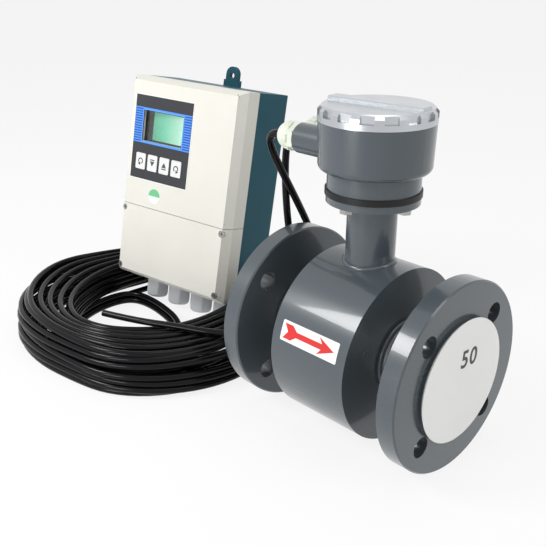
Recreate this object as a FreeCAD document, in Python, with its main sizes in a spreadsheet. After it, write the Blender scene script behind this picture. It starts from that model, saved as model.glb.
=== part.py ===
import FreeCAD, Part
import Sketcher
import math
import os
import re

# Electromagnetic flow meter of the split type: a flanged DN50 sensor with a junction box on a neck, a
# remote converter, and the two cables between them, wound into one coil on the floor.
# Frame: origin at the middle of the measuring tube on the flow axis, +X along the flow, +Z up.
# The converter is drawn in a frame of its own (X to the right along its face, Y into the box, Z up the
# face, origin at the middle of the lower front edge) and placed as it leans.

V = FreeCAD.Vector

SIZES = {
    # clearances
    "seat_fit": 0.05,
    "running_gap": 0.3,
    # measuring tube, liner and flanges
    "bore_radius": 25,
    "liner_wall": 2.5,
    "tube_wall": 2.65,
    "face_half": 100,
    "flare_thickness": 2,
    "raised_height": 2,
    "raised_radius": 51,
    "flange_radius": 82.5,
    "flange_thickness": 18,
    "flange_edge": 1.2,
    "stud_circle": 62.5,
    "stud_hole": 9,
    "stud_count": 4,
    # electrodes
    "boss_radius": 8,
    "boss_reach": 36,
    "bush_radius": 5,
    "electrode_radius": 3,
    "electrode_head": 6.5,
    "electrode_head_height": 3,
    "electrode_tail": 4,
    # field coils, pole shoes and yoke
    "coil_half": 32,
    "coil_angle": 114,
    "coil_outer": 43,
    "shoe_half": 15,
    "shoe_angle": 52,
    "shoe_gap": 1,
    "yoke_inner": 46,
    "yoke_wall": 3,
    # coil housing
    "housing_radius": 76.5,
    "housing_wall": 3.5,
    "housing_half": 40,
    "end_plate": 3.5,
    "wire_hole": 15,
    # neck and its flange
    "neck_radius": 21,
    "neck_wall": 3,
    "neck_top": 127.5,
    "neck_flange_radius": 39,
    "neck_flange_thickness": 6,
    "neck_bolt_circle": 32.5,
    "neck_bolt_radius": 3,
    "neck_bolt_across": 10,
    "neck_bolt_head": 4,
    "neck_bolt_depth": 8,
    "gasket_overhang": 1,
    "gasket_thickness": 5,
    # junction box
    "spigot_radius": 38.5,
    "spigot_height": 15,
    "drum_foot_radius": 46.3,
    "drum_radius": 47.3,
    "drum_height": 40,
    "shoulder_radius": 5.5,
    "cavity_radius": 42,
    "box_floor": 18,
    "conduit_radius": 13,
    "conduit_offset": 16,
    "conduit_height": 32,
    "conduit_reach": 67.5,
    "conduit_edge": 1.5,
    # terminal block
    "block_length": 50,
    "block_width": 22,
    "block_height": 12,
    "block_slot": 7,
    "terminal_count": 6,
    "terminal_pitch": 8,
    "terminal_radius": 2.4,
    # lid
    "lid_radius": 47.5,
    "lid_height": 12,
    "lid_bevel": 3.5,
    "lid_plate": 4,
    "lid_plug_depth": 8,
    "lid_plug_wall": 5.5,
    "seal_groove": 3.2,
    "seal_section": 1.1,
    "recess_count": 16,
    "recess_width": 11,
    "recess_depth": 2.6,
    "recess_foot": 4.6,
    "bar_width": 14,
    "bar_height": 3,
    "bar_length": 87,
    "bar_turn": 7,
    # cable glands of the sensor ("entry") and of the converter ("port")
    "entry_hex": 13,
    "entry_collar": 6.5,
    "entry_nut": 12.2,
    "entry_nut_length": 14,
    "entry_mouth": 8,
    "entry_bore": 5.7,
    "entry_stem": 9,
    "entry_stem_length": 10.5,
    "port_hex": 12,
    "port_collar": 9,
    "port_nut": 12.6,
    "port_nut_length": 23,
    "port_mouth": 9.6,
    "port_bore": 4.8,
    "port_stem": 8,
    "port_stem_length": 12,
    # cables
    "cable_radius": 3.5,
    "floor_level": -82.5,
    "coil_x": -287,
    "coil_y": -5,
    "coil_turn": -45,
    "ring_major": 178,
    "ring_minor": 155,
    "ring_width": 60,
    "ring_height": 48,
    "ring_round": 16,
    "ring_clearance": 0.3,
    # converter housing
    "case_width": 158,
    "case_height": 228.3,
    "case_depth": 84.8,
    "cover_depth": 28.2,
    "case_seal": 1,
    "case_seal_inset": 0.4,
    "case_wall": 4,
    "case_round": 6,
    "cover_wall": 3.5,
    "side_bevel": 6.4,
    "top_bevel": 5,
    "foot_bevel": 6.4,
    "bevel_depth": 9.9,
    "split_height": 84.1,
    "split_gap": 0.6,
    "case_screw_inset": 7.5,
    "case_screw_low": 9.5,
    "case_screw_drop": 5.6,
    "case_screw_head": 3.4,
    "case_screw_head_height": 2.4,
    "case_screw_sunk": 0.8,
    "case_screw_radius": 1.5,
    "case_screw_length": 36,
    "case_boss_radius": 4.6,
    "ear_half": 8.5,
    "ear_step_half": 11,
    "ear_step": 7,
    "ear_rise": 22,
    "ear_thickness": 5,
    "ear_hole": 3.3,
    "ear_hole_rise": 12,
    # keypad and display
    "panel_left": -67.2,
    "panel_right": 16.2,
    "panel_drop": 20.4,
    "panel_height": 92.6,
    "panel_thickness": 1.2,
    "panel_recess": 1,
    "window_left": -54.2,
    "window_right": 4.1,
    "window_drop": 36.3,
    "window_height": 34,
    "glass_lap": 3,
    "glass_thickness": 2,
    "display_face": 9,
    "display_frame": 2.5,
    "board_front": 14,
    "board_thickness": 1.6,
    "board_margin": 3,
    "post_radius": 3,
    "post_inset": 1.5,
    "key_first": -52.9,
    "key_pitch": 17.6,
    "key_drop": 93.3,
    "key_width": 14.2,
    "key_height": 18,
    "key_corner": 1.6,
    "key_gap": 0.3,
    "key_proud": 0.6,
    "key_travel": 0.6,
    "plunger_half": 3,
    "switch_height": 0.6,
    "switch_radius": 2.8,
    # boards in the rear housing
    "main_board_side": 19,
    "main_board_foot": 15.9,
    "main_board_drop": 13.3,
    "main_board_depth": 56,
    "pillar_radius": 4,
    "pillar_inset": 5,
    "supply_half": 27,
    "supply_foot": 12,
    "supply_height": 48,
    "supply_depth": 20,
    "strip_half": 60,
    "strip_low": 30,
    "strip_high": 56,
    "strip_depth": 18,
    "strip_step": 8,
    "port_inset": 26.95,
    "port_depth": 48.8,
    # where the converter stands and how it leans
    "case_x": -287,
    "case_y": -8.7,
    "case_z": -38.4,
    "case_heading": 11.02,
    "case_lean": -10.39,
    "case_roll": 1.77,
}

# Cable routes: hand-chosen points, from each gland to the coil, and the free end on top of the coil.
SIGNAL_ROUTE = [
    (-88, -16, 170.5), (-99.5, -15.4, 170.2), (-109, -12.8, 164.2), (-112.6, -8, 153.5), (-111, -1, 138),
    (-107.8, 9, 118), (-107, 22, 96), (-109, 40, 68), (-114, 60, 33), (-121, 77, -4), (-128, 91, -38),
    (-141, 101, -60), (-161, 103, -68), (-180, 96, -66),
]
EXCITATION_ROUTE = [
    (-88, 16, 170.5), (-99.5, 16.2, 170.3), (-109.3, 15.8, 164.7), (-115, 15, 154), (-116.8, 14.4, 137),
    (-116.6, 14.8, 110), (-115.4, 17, 78), (-113.6, 22.5, 40), (-113.8, 31, 2), (-119, 43, -32),
    (-131, 56, -55), (-150, 64, -63),
]
TAIL_ROUTE = [
    (-137, 30, -44), (-125, 12, -35), (-121, -12, -30), (-130, -36, -29.5), (-151, -55, -30),
    (-181, -70, -29), (-222, -92, -30), (-259, -106, -29.5),
]

doc = FreeCAD.newDocument("flow_meter")
sheet = doc.addObject("Spreadsheet::Sheet", "Sizes")
PARTS = []


def fill_sheet():
    """Each driving dimension gets a row: its name beside its number, with the name as alias."""
    for row, (name, number) in enumerate(SIZES.items(), start=1):
        sheet.set(f"A{row}", name)
        sheet.set(f"B{row}", str(number))
        sheet.setAlias(f"B{row}", name)
    doc.recompute()


def bound(expression):
    """The expression with each size's name pointed at the sheet."""
    def linked(word):
        return f"Sizes.{word[0]}" if word[0] in SIZES else word[0]
    return re.sub(r"[a-z_]+", linked, str(expression))


def value(expression):
    """The number that an expression of sizes comes to."""
    return float(sheet.evalExpression(re.sub(r"Sizes\.", "", bound(expression))))


def keep(piece, label):
    """Registers a finished sub-part under the name of its file."""
    piece.Label = label
    PARTS.append(piece)
    return piece


def new_body(label):
    """An empty body for one sub-part."""
    return keep(doc.addObject("PartDesign::Body", label), label)


# ---- sketches ----

def new_sketch(body, plane, start="0"):
    """A sketch on one of the body's own origin planes, lifted to where its extrusion starts."""
    sketch = body.newObject("Sketcher::SketchObject", f"{body.Name}_sketch")
    origin = {feature.Role: feature for feature in body.Origin.OriginFeatures}
    sketch.AttachmentSupport = (origin[plane], [""])
    sketch.MapMode = "FlatFace"
    if start != "0":
        # the XZ plane faces along -Y, so its lift is turned round
        lift = f"-({start})" if plane == "XZ_Plane" else start
        sketch.setExpression("AttachmentOffset.Base.z", bound(lift))
    return sketch


def pin(sketch, geometry, end, corner):
    """Holds one point of a sketch at the place that two expressions give."""
    for kind, expression, axis in (("DistanceX", corner[0], -2), ("DistanceY", corner[1], -1)):
        number = value(expression)
        if abs(number) < 1e-9:
            sketch.addConstraint(Sketcher.Constraint("PointOnObject", geometry, end, axis))
            continue
        index = sketch.addConstraint(Sketcher.Constraint(kind, -1, 1, geometry, end, number))
        sketch.setExpression(f"Constraints[{index}]", bound(expression))


def outline(sketch, corners):
    """A closed outline of straight lines through corners given as pairs of expressions."""
    points = [V(value(x), value(y), 0) for x, y in corners]
    first = sketch.GeometryCount
    for index, point in enumerate(points):
        sketch.addGeometry(Part.LineSegment(point, points[(index + 1) % len(points)]))
    for index, corner in enumerate(corners):
        following = first + (index + 1) % len(corners)
        sketch.addConstraint(Sketcher.Constraint("Coincident", first + index, 2, following, 1))
        pin(sketch, first + index, 1, corner)
    return sketch


def oblong(sketch, left, low, right, high):
    """A rectangle between two corners."""
    return outline(sketch, [(left, low), (right, low), (right, high), (left, high)])


def disc(sketch, x, y, radius):
    """A circle about a point."""
    circle = sketch.addGeometry(Part.Circle(V(value(x), value(y), 0), V(0, 0, 1), value(radius)))
    pin(sketch, circle, 3, (x, y))
    index = sketch.addConstraint(Sketcher.Constraint("Radius", circle, value(radius)))
    sketch.setExpression(f"Constraints[{index}]", bound(radius))
    return sketch


def hexagon(sketch, x, y, radius):
    """A hexagon with its corners on a circle about a point."""
    corners = [(f"{x} + ({radius}) * cos({60 * k})", f"{y} + ({radius}) * sin({60 * k})") for k in range(6)]
    return outline(sketch, corners)


# ---- features ----

def finish(body, feature):
    """Makes a feature the body's tip and checks that it was computed."""
    body.Tip = feature
    doc.recompute()
    if "Invalid" in feature.State or feature.Shape.isNull():
        raise RuntimeError(f"{body.Label}: {feature.Name} failed")
    return feature


def on_xz(sketch):
    """Whether a sketch lies on the XZ plane, whose normal points along -Y."""
    return sketch.AttachmentSupport[0][0].Role == "XZ_Plane"


def pad(body, sketch, length):
    """Adds material from the sketch's plane towards +X, +Y or +Z."""
    feature = body.newObject("PartDesign::Pad", f"{body.Name}_pad")
    feature.Profile = sketch
    feature.setExpression("Length", bound(length))
    feature.Reversed = on_xz(sketch)
    return finish(body, feature)


def pocket(body, sketch, length):
    """Removes material from the sketch's plane towards +X, +Y or +Z, and checks that it cuts."""
    before = body.Shape.Volume
    feature = body.newObject("PartDesign::Pocket", f"{body.Name}_pocket")
    feature.Profile = sketch
    feature.setExpression("Length", bound(length))
    feature.Reversed = not on_xz(sketch)
    finish(body, feature)
    if body.Shape.Volume > before - 1e-3:
        raise RuntimeError(f"{body.Label}: {feature.Name} cuts nothing")
    return feature


def turn(body, sketch, axis, kind="PartDesign::Revolution", angle="360"):
    """Revolves a profile about the sketch's own horizontal or vertical axis, evenly to both sides."""
    feature = body.newObject(kind, f"{body.Name}_turned")
    feature.Profile = sketch
    feature.ReferenceAxis = (sketch, [axis])
    feature.Midplane = angle != "360"
    feature.setExpression("Angle", bound(angle))
    return finish(body, feature)


def repeat(body, feature, axis, count):
    """Repeats a feature evenly round one of the body's axes."""
    origin = {item.Role: item for item in body.Origin.OriginFeatures}
    pattern = body.newObject("PartDesign::PolarPattern", f"{body.Name}_pattern")
    pattern.Originals = [feature]
    pattern.Axis = (origin[axis], [""])
    pattern.Angle = 360
    pattern.setExpression("Occurrences", bound(count))
    return finish(body, pattern)


def dress(body, kind, radius, wanted):
    """Rounds or bevels the edges of the body that answer to wanted(centre, edge)."""
    shape = body.Shape
    names = [f"Edge{k + 1}" for k, edge in enumerate(shape.Edges) if wanted(edge.CenterOfMass, edge)]
    if not names:
        raise RuntimeError(f"{body.Label}: no edge to dress")
    base = body.Tip
    feature = body.newObject(f"PartDesign::{kind}", f"{body.Name}_{kind.lower()}")
    feature.Base = (base, names)
    feature.setExpression("Radius" if kind == "Fillet" else "Size", bound(radius))
    return finish(body, feature)


def full_circle(edge, radius):
    """Whether an edge is a closed circle of the given radius."""
    curve = edge.Curve
    return edge.isClosed() and isinstance(curve, Part.Circle) and abs(curve.Radius - radius) < 1e-6


def near(number, expression):
    """Whether a number equals an expression of sizes."""
    return abs(number - value(expression)) < 1e-4


def place(piece, x="0", y="0", z="0", rotation=None):
    """Places a finished sub-part, with its base bound to the sheet."""
    if rotation is not None:
        piece.Placement = FreeCAD.Placement(V(0, 0, 0), rotation)
    for axis, expression in (("x", x), ("y", y), ("z", z)):
        if expression != "0":
            piece.setExpression(f"Placement.Base.{axis}", bound(expression))
    return piece


# ---- Part primitives, for groups of small pieces ----

def rod(radius, length, x, y, z, axis=(0, 0, 1)):
    """A cylinder that starts at a point and runs along an axis."""
    cylinder = doc.addObject("Part::Cylinder", "rod")
    cylinder.setExpression("Radius", bound(radius))
    cylinder.setExpression("Height", bound(length))
    return place(cylinder, x, y, z, FreeCAD.Rotation(V(0, 0, 1), V(*axis)))


def nut_head(across, length, x, y, z):
    """A hexagonal prism that starts at a point and runs upwards."""
    prism = doc.addObject("Part::Prism", "hexagon_head")
    prism.Polygon = 6
    prism.setExpression("Circumradius", bound(f"({across}) / 2 / cos(30)"))
    prism.setExpression("Height", bound(length))
    return place(prism, x, y, z)


def joined(first, second):
    """Two primitives fused into one solid."""
    fuse = doc.addObject("Part::Fuse", "joined")
    fuse.Base = first
    fuse.Tool = second
    return fuse


def trimmed(first, second):
    """One shape with another cut from it."""
    cut = doc.addObject("Part::Cut", "trimmed")
    cut.Base = first
    cut.Tool = second
    return cut


def group(label, pieces):
    """Several separate solids kept under one name."""
    compound = doc.addObject("Part::Compound", label)
    compound.Links = pieces
    return keep(compound, label)


# ---- sensor: tube, liner, electrodes, flanges ----

FACE_BACK = "(face_half - flare_thickness)"
RIM_FACE = "(face_half - flare_thickness - raised_height)"
TUBE_INNER = "(bore_radius + liner_wall)"
TUBE_OUTER = "(bore_radius + liner_wall + tube_wall)"


def make_tube():
    """Steel measuring tube with two bosses that hold the electrodes."""
    body = new_body("measuring_tube")
    profile = new_sketch(body, "XZ_Plane")
    oblong(profile, f"-{FACE_BACK}", TUBE_INNER, FACE_BACK, TUBE_OUTER)
    turn(body, profile, "H_Axis")
    boss = new_sketch(body, "XZ_Plane", "-boss_reach")
    pad(body, disc(boss, "0", "0", "boss_radius"), "2 * boss_reach")
    way = new_sketch(body, "YZ_Plane", "-face_half")
    pocket(body, disc(way, "0", "0", TUBE_INNER), "2 * face_half")
    hole = new_sketch(body, "XZ_Plane", "-face_half")
    pocket(body, disc(hole, "0", "0", "bush_radius + seat_fit"), "2 * face_half")


def make_liner():
    """Liner with its two flared faces over the raised faces of the flanges."""
    body = new_body("liner")
    outer = f"({TUBE_INNER} - seat_fit)"
    profile = new_sketch(body, "XZ_Plane")
    outline(profile, [
        ("-face_half", "bore_radius"), ("face_half", "bore_radius"), ("face_half", "raised_radius"),
        (FACE_BACK, "raised_radius"), (FACE_BACK, outer), (f"-{FACE_BACK}", outer),
        (f"-{FACE_BACK}", "raised_radius"), ("-face_half", "raised_radius"),
    ])
    turn(body, profile, "H_Axis")
    hole = new_sketch(body, "XZ_Plane", "-boss_reach")
    pocket(body, disc(hole, "0", "0", "electrode_radius + seat_fit"), "2 * boss_reach")


def make_electrode(label, side):
    """Electrode: a pin through the wall, a collar on the boss and a short tail for its wire."""
    body = new_body(label)
    head_top = "(boss_reach + electrode_head_height)"
    corners = [
        ("0", "bore_radius"), ("electrode_radius", "bore_radius"), ("electrode_radius", "boss_reach"),
        ("electrode_head", "boss_reach"), ("electrode_head", head_top), ("electrode_radius", head_top),
        ("electrode_radius", f"{head_top} + electrode_tail"), ("0", f"{head_top} + electrode_tail"),
    ]
    profile = new_sketch(body, "XY_Plane")
    outline(profile, [(x, f"{side} * ({y})") for x, y in corners])
    turn(body, profile, "V_Axis")


def make_bushes():
    """Insulating bushes between the electrodes and their bosses."""
    bushes = []
    for side in (1, -1):
        start = f"{side} * ({TUBE_INNER} + liner_wall / 2)"
        length = f"boss_reach - {TUBE_INNER} - liner_wall / 2"
        sleeve = rod("bush_radius", length, "0", start, "0", (0, side, 0))
        hole = rod("electrode_radius + seat_fit", length, "0", start, "0", (0, side, 0))
        bushes.append(trimmed(sleeve, hole))
    group("electrode_bushes", bushes)


def make_flange(label, side):
    """Flange: bevelled rim, raised face and a circle of stud holes, welded round the tube."""
    body = new_body(label)
    inner = f"({TUBE_OUTER} + seat_fit)"
    back = f"({RIM_FACE} - flange_thickness)"
    corners = [
        (back, inner), (FACE_BACK, inner), (FACE_BACK, "raised_radius"), (RIM_FACE, "raised_radius"),
        (RIM_FACE, "flange_radius - flange_edge"), (f"{RIM_FACE} - flange_edge", "flange_radius"),
        (f"{back} + flange_edge", "flange_radius"), (back, "flange_radius - flange_edge"),
    ]
    profile = new_sketch(body, "XZ_Plane")
    outline(profile, [(f"{side} * ({x})", r) for x, r in corners])
    turn(body, profile, "H_Axis")
    start = back if side > 0 else f"-{RIM_FACE}"
    hole = new_sketch(body, "YZ_Plane", start)
    disc(hole, "stud_circle * cos(45)", "stud_circle * sin(45)", "stud_hole")
    stud = pocket(body, hole, "flange_thickness")
    repeat(body, stud, "X_Axis", "stud_count")


# ---- sensor: field coils and housing ----

def make_saddle(label, half, inner, outer, angle, side, window=False):
    """A segment round the tube above or below it: a pole shoe, or a saddle coil with its window."""
    body = new_body(label)
    profile = new_sketch(body, "XZ_Plane")
    corners = [(f"-{half}", inner), (half, inner), (half, outer), (f"-{half}", outer)]
    outline(profile, [(x, f"{side} * ({z})") for x, z in corners])
    turn(body, profile, "H_Axis", angle=angle)
    if window:
        start = "0" if side > 0 else f"-{outer}"
        opening = new_sketch(body, "XY_Plane", start)
        reach = "(shoe_half + shoe_gap)"
        width = "(coil_outer * sin(shoe_angle / 2) + shoe_gap)"
        oblong(opening, f"-{reach}", f"-{width}", reach, width)
        pocket(body, opening, outer)


def make_field():
    """Saddle coils above and below the tube, pole shoes in their windows, and the return yoke."""
    inner = f"({TUBE_OUTER} + running_gap)"
    shoe_inner = f"({TUBE_OUTER} + seat_fit)"
    shoe_outer = "(yoke_inner - seat_fit)"
    for place_name, side in (("top", 1), ("bottom", -1)):
        make_saddle(f"field_coil_{place_name}", "coil_half", inner, "coil_outer", "coil_angle", side, True)
        make_saddle(f"pole_shoe_{place_name}", "shoe_half", shoe_inner, shoe_outer, "shoe_angle", side)
    body = new_body("field_yoke")
    profile = new_sketch(body, "XZ_Plane")
    oblong(profile, "-coil_half", "yoke_inner", "coil_half", "yoke_inner + yoke_wall")
    turn(body, profile, "H_Axis")


def make_housing():
    """Drum round the field coils, open at the top for the wires, closed by two ring plates."""
    body = new_body("coil_housing")
    profile = new_sketch(body, "XZ_Plane")
    oblong(profile, "-housing_half", "housing_radius - housing_wall", "housing_half", "housing_radius")
    turn(body, profile, "H_Axis")
    hole = new_sketch(body, "XY_Plane")
    pocket(body, disc(hole, "0", "0", "wire_hole"), "2 * housing_radius")
    for label, side in (("housing_end_inlet", -1), ("housing_end_outlet", 1)):
        plate = new_body(label)
        corners = [
            ("housing_half - end_plate", f"{TUBE_OUTER} + seat_fit"),
            ("housing_half", f"{TUBE_OUTER} + seat_fit"),
            ("housing_half", "housing_radius - housing_wall - seat_fit"),
            ("housing_half - end_plate", "housing_radius - housing_wall - seat_fit"),
        ]
        ring = new_sketch(plate, "XZ_Plane")
        outline(ring, [(f"{side} * ({x})", r) for x, r in corners])
        turn(plate, ring, "H_Axis")


# ---- sensor: neck and junction box ----

FLANGE_TOP = "(neck_top + neck_flange_thickness)"
BOX_FOOT = "(neck_top + neck_flange_thickness + gasket_thickness)"
DRUM_FOOT = f"({BOX_FOOT} + spigot_height)"
BOX_TOP = f"({DRUM_FOOT} + drum_height)"
CAVITY_FLOOR = f"({BOX_FOOT} + box_floor)"
CONDUIT_LEVEL = f"({BOX_FOOT} + conduit_height)"


def make_neck():
    """Neck tube, saddled on the housing, with its flange and the rubber gasket on top."""
    body = new_body("neck")
    ring = new_sketch(body, "XY_Plane", "housing_radius / 2")
    disc(ring, "0", "0", "neck_radius")
    disc(ring, "0", "0", "neck_radius - neck_wall")
    pad(body, ring, "neck_top - housing_radius / 2")
    saddle = new_sketch(body, "YZ_Plane", "-housing_half")
    pocket(body, disc(saddle, "0", "0", "housing_radius + seat_fit"), "2 * housing_half")
    plates = (
        ("neck_flange", "neck_top", "neck_flange_radius", "neck_flange_thickness"),
        ("box_gasket", FLANGE_TOP, "neck_flange_radius + gasket_overhang", "gasket_thickness"),
    )
    for label, start, radius, thickness in plates:
        plate = new_body(label)
        face = new_sketch(plate, "XY_Plane", start)
        disc(face, "0", "0", radius)
        disc(face, "0", "0", "neck_radius - neck_wall")
        pad(plate, face, thickness)
        hole = new_sketch(plate, "XY_Plane", start)
        disc(hole, "neck_bolt_circle", "0", "neck_bolt_radius + running_gap")
        repeat(plate, pocket(plate, hole, thickness), "Z_Axis", "stud_count")


def make_neck_bolts():
    """Hexagon bolts from below, through flange and gasket into the foot of the junction box."""
    bolts = []
    shank = "neck_flange_thickness + gasket_thickness + neck_bolt_depth"
    for k in range(4):
        x = f"neck_bolt_circle * cos({90 * k})"
        y = f"neck_bolt_circle * sin({90 * k})"
        head = nut_head("neck_bolt_across", "neck_bolt_head", x, y, "neck_top - neck_bolt_head")
        bolts.append(joined(head, rod("neck_bolt_radius", shank, x, y, "neck_top")))
    group("neck_bolts", bolts)


def make_junction_box():
    """Cast box: spigot, rounded shoulder, tapered drum, two conduit bosses, open on top for its lid."""
    body = new_body("junction_box")
    profile = new_sketch(body, "XZ_Plane")
    outline(profile, [
        ("0", BOX_FOOT), ("spigot_radius", BOX_FOOT), ("spigot_radius", DRUM_FOOT),
        ("drum_foot_radius", DRUM_FOOT), ("drum_radius", BOX_TOP), ("0", BOX_TOP),
    ])
    turn(body, profile, "V_Axis")
    dress(body, "Fillet", "shoulder_radius",
          lambda centre, edge: near(centre.z, DRUM_FOOT) and full_circle(edge, value("drum_foot_radius")))
    bosses = new_sketch(body, "YZ_Plane", "-conduit_reach")
    bores = new_sketch(body, "YZ_Plane", "-conduit_reach")
    for side in ("conduit_offset", "-conduit_offset"):
        disc(bosses, side, CONDUIT_LEVEL, "conduit_radius")
        disc(bores, side, CONDUIT_LEVEL, "entry_stem + running_gap")
    pad(body, bosses, "conduit_reach")
    mouth = value("conduit_radius")
    dress(body, "Fillet", "conduit_edge",
          lambda centre, edge: near(centre.x, "-conduit_reach") and full_circle(edge, mouth))
    cavity = new_sketch(body, "XY_Plane", CAVITY_FLOOR)
    pocket(body, disc(cavity, "0", "0", "cavity_radius"), "drum_height + spigot_height")
    pocket(body, bores, "conduit_reach - cavity_radius / 2")
    wires = new_sketch(body, "XY_Plane", BOX_FOOT)
    pocket(body, disc(wires, "0", "0", "wire_hole"), "box_floor")
    tapped = new_sketch(body, "XY_Plane", BOX_FOOT)
    disc(tapped, "neck_bolt_circle", "0", "neck_bolt_radius + seat_fit")
    repeat(body, pocket(body, tapped, "neck_bolt_depth + running_gap"), "Z_Axis", "stud_count")


def make_terminals():
    """Terminal block on the floor of the junction box, with a slot for the wires and its screws."""
    body = new_body("terminal_block")
    base = new_sketch(body, "XY_Plane", CAVITY_FLOOR)
    oblong(base, "-block_width / 2", "-block_length / 2", "block_width / 2", "block_length / 2")
    pad(body, base, "block_height")
    slot = new_sketch(body, "XZ_Plane", "-block_length")
    step = f"{CAVITY_FLOOR} + block_height"
    oblong(slot, "-block_width", f"{step} - block_slot / 2",
           "-block_width / 2 + block_slot", f"{step} + block_slot")
    pocket(body, slot, "2 * block_length")
    screws = []
    for k in range(6):
        y = f"({k} - (terminal_count - 1) / 2) * terminal_pitch"
        screws.append(rod("terminal_radius", "terminal_radius", "block_slot / 2", y, step))
    group("terminal_screws", screws)


def make_lid():
    """Screwed lid: bevelled rim with grip recesses, a bar across the top and a hollow threaded plug."""
    body = new_body("lid")
    top = f"({BOX_TOP} + lid_height)"
    plug = "(cavity_radius - running_gap - seat_fit * 4)"
    groove_foot = f"({BOX_TOP} - seal_groove)"
    groove = f"({plug} - 2 * seal_section - seat_fit)"
    foot = f"({BOX_TOP} - lid_plug_depth)"
    profile = new_sketch(body, "XZ_Plane")
    outline(profile, [
        ("0", top), ("lid_radius - lid_bevel", top), ("lid_radius", f"{top} - lid_bevel"),
        ("lid_radius", BOX_TOP), (groove, BOX_TOP), (groove, groove_foot), (plug, groove_foot), (plug, foot),
        (f"{plug} - lid_plug_wall", foot), (f"{plug} - lid_plug_wall", f"{top} - lid_plate"),
        ("0", f"{top} - lid_plate"),
    ])
    turn(body, profile, "V_Axis")
    recess = new_sketch(body, "XY_Plane", f"{BOX_TOP} + recess_foot")
    inner = "lid_radius - recess_depth"
    oblong(recess, inner, "-recess_width / 2", "lid_radius + lid_bevel", "recess_width / 2")
    repeat(body, pocket(body, recess, "lid_height"), "Z_Axis", "recess_count")
    bar = new_sketch(body, "XY_Plane", top)
    oblong(bar, "-bar_length / 2", "-bar_width / 2", "bar_length / 2", "bar_width / 2")
    pad(body, bar, "bar_height")
    dress(body, "Chamfer", "bar_height / 3",
          lambda centre, edge: near(centre.z, f"{top} + bar_height") and near(abs(centre.y), "bar_width / 2"))
    body.setExpression("Placement.Rotation.Angle", bound("bar_turn"))
    seal = new_body("lid_seal")
    section = new_sketch(seal, "XZ_Plane")
    disc(section, f"{groove} + running_gap + seal_section", f"{BOX_TOP} - seal_groove / 2", "seal_section")
    turn(seal, section, "V_Axis")


# ---- cable glands ----

def make_gland(kind, body_label, nut_label):
    """Gland along +Z from its seat: threaded stem behind it, hexagon collar, then a domed nut."""
    body = new_body(body_label)
    collar = new_sketch(body, "XY_Plane")
    pad(body, hexagon(collar, "0", "0", f"{kind}_hex"), f"{kind}_collar")
    stem = new_sketch(body, "XY_Plane", f"-{kind}_stem_length")
    pad(body, disc(stem, "0", "0", f"{kind}_stem"), f"{kind}_stem_length")
    bore = new_sketch(body, "XY_Plane", f"-{kind}_stem_length")
    pocket(body, disc(bore, "0", "0", f"{kind}_bore + seat_fit"), f"{kind}_stem_length + {kind}_collar")
    nut = new_body(nut_label)
    end = f"({kind}_collar + {kind}_nut_length)"
    dome = f"({kind}_nut - {kind}_mouth)"
    profile = new_sketch(nut, "XZ_Plane")
    outline(profile, [
        (f"{kind}_bore + seat_fit", f"{kind}_collar"), (f"{kind}_nut", f"{kind}_collar"),
        (f"{kind}_nut", f"{end} - {dome} * 1.6"), (f"{kind}_nut - {dome} * 0.3", f"{end} - {dome} * 0.75"),
        (f"{kind}_nut - {dome} * 0.62", f"{end} - {dome} * 0.28"), (f"{kind}_mouth", end),
        (f"{kind}_bore + seat_fit", end),
    ])
    turn(nut, profile, "V_Axis")
    return body, nut


def make_entry_glands():
    """The two glands of the junction box, each with the sealing plug that grips its cable."""
    outwards = FreeCAD.Rotation(V(0, 1, 0), -90)
    for prefix, side in (("signal", "-conduit_offset"), ("excitation", "conduit_offset")):
        body, nut = make_gland("entry", f"{prefix}_gland_body", f"{prefix}_gland_nut")
        seal = new_body(f"{prefix}_gland_seal")
        grip = new_sketch(seal, "XY_Plane")
        disc(grip, "0", "0", "entry_bore")
        pad(seal, grip, "entry_collar + entry_nut_length")
        for piece in (body, nut, seal):
            place(piece, "-conduit_reach", side, CONDUIT_LEVEL, outwards)


# ---- converter ----

def lean():
    """How the converter stands: turned, leaning back and rolled a little."""
    heading = FreeCAD.Rotation(V(0, 0, 1), value("case_heading"))
    tilt = FreeCAD.Rotation(V(1, 0, 0), value("case_lean"))
    roll = FreeCAD.Rotation(V(0, 1, 0), value("case_roll"))
    origin = V(value("case_x"), value("case_y"), value("case_z"))
    return FreeCAD.Placement(origin, heading.multiply(tilt).multiply(roll))


def stand(piece, local=None):
    """Places a piece of the converter, drawn in the converter's own frame, where the converter stands."""
    piece.Placement = lean() if local is None else lean().multiply(local)
    return piece


REAR_FACE = "(cover_depth + case_seal)"
PANEL_HIGH = "(case_height - panel_drop)"
PANEL_LOW = "(case_height - panel_drop - panel_height)"
WINDOW_HIGH = "(case_height - window_drop)"
WINDOW_LOW = "(case_height - window_drop - window_height)"
KEY_LEVEL = "(case_height - key_drop)"
BOARD_HALF = "(case_width / 2 - main_board_side)"
BOARD_LOW = "(split_height + main_board_foot)"
BOARD_HIGH = "(case_height - main_board_drop)"
PORT_PITCH = "((case_width - 2 * port_inset) / 3)"
SCREW_X = "(case_width / 2 - case_screw_inset)"
SCREW_PLACES = [
    (x, z)
    for x in (SCREW_X, f"-{SCREW_X}")
    for z in ("case_screw_low", "split_height - case_screw_drop")
]


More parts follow.
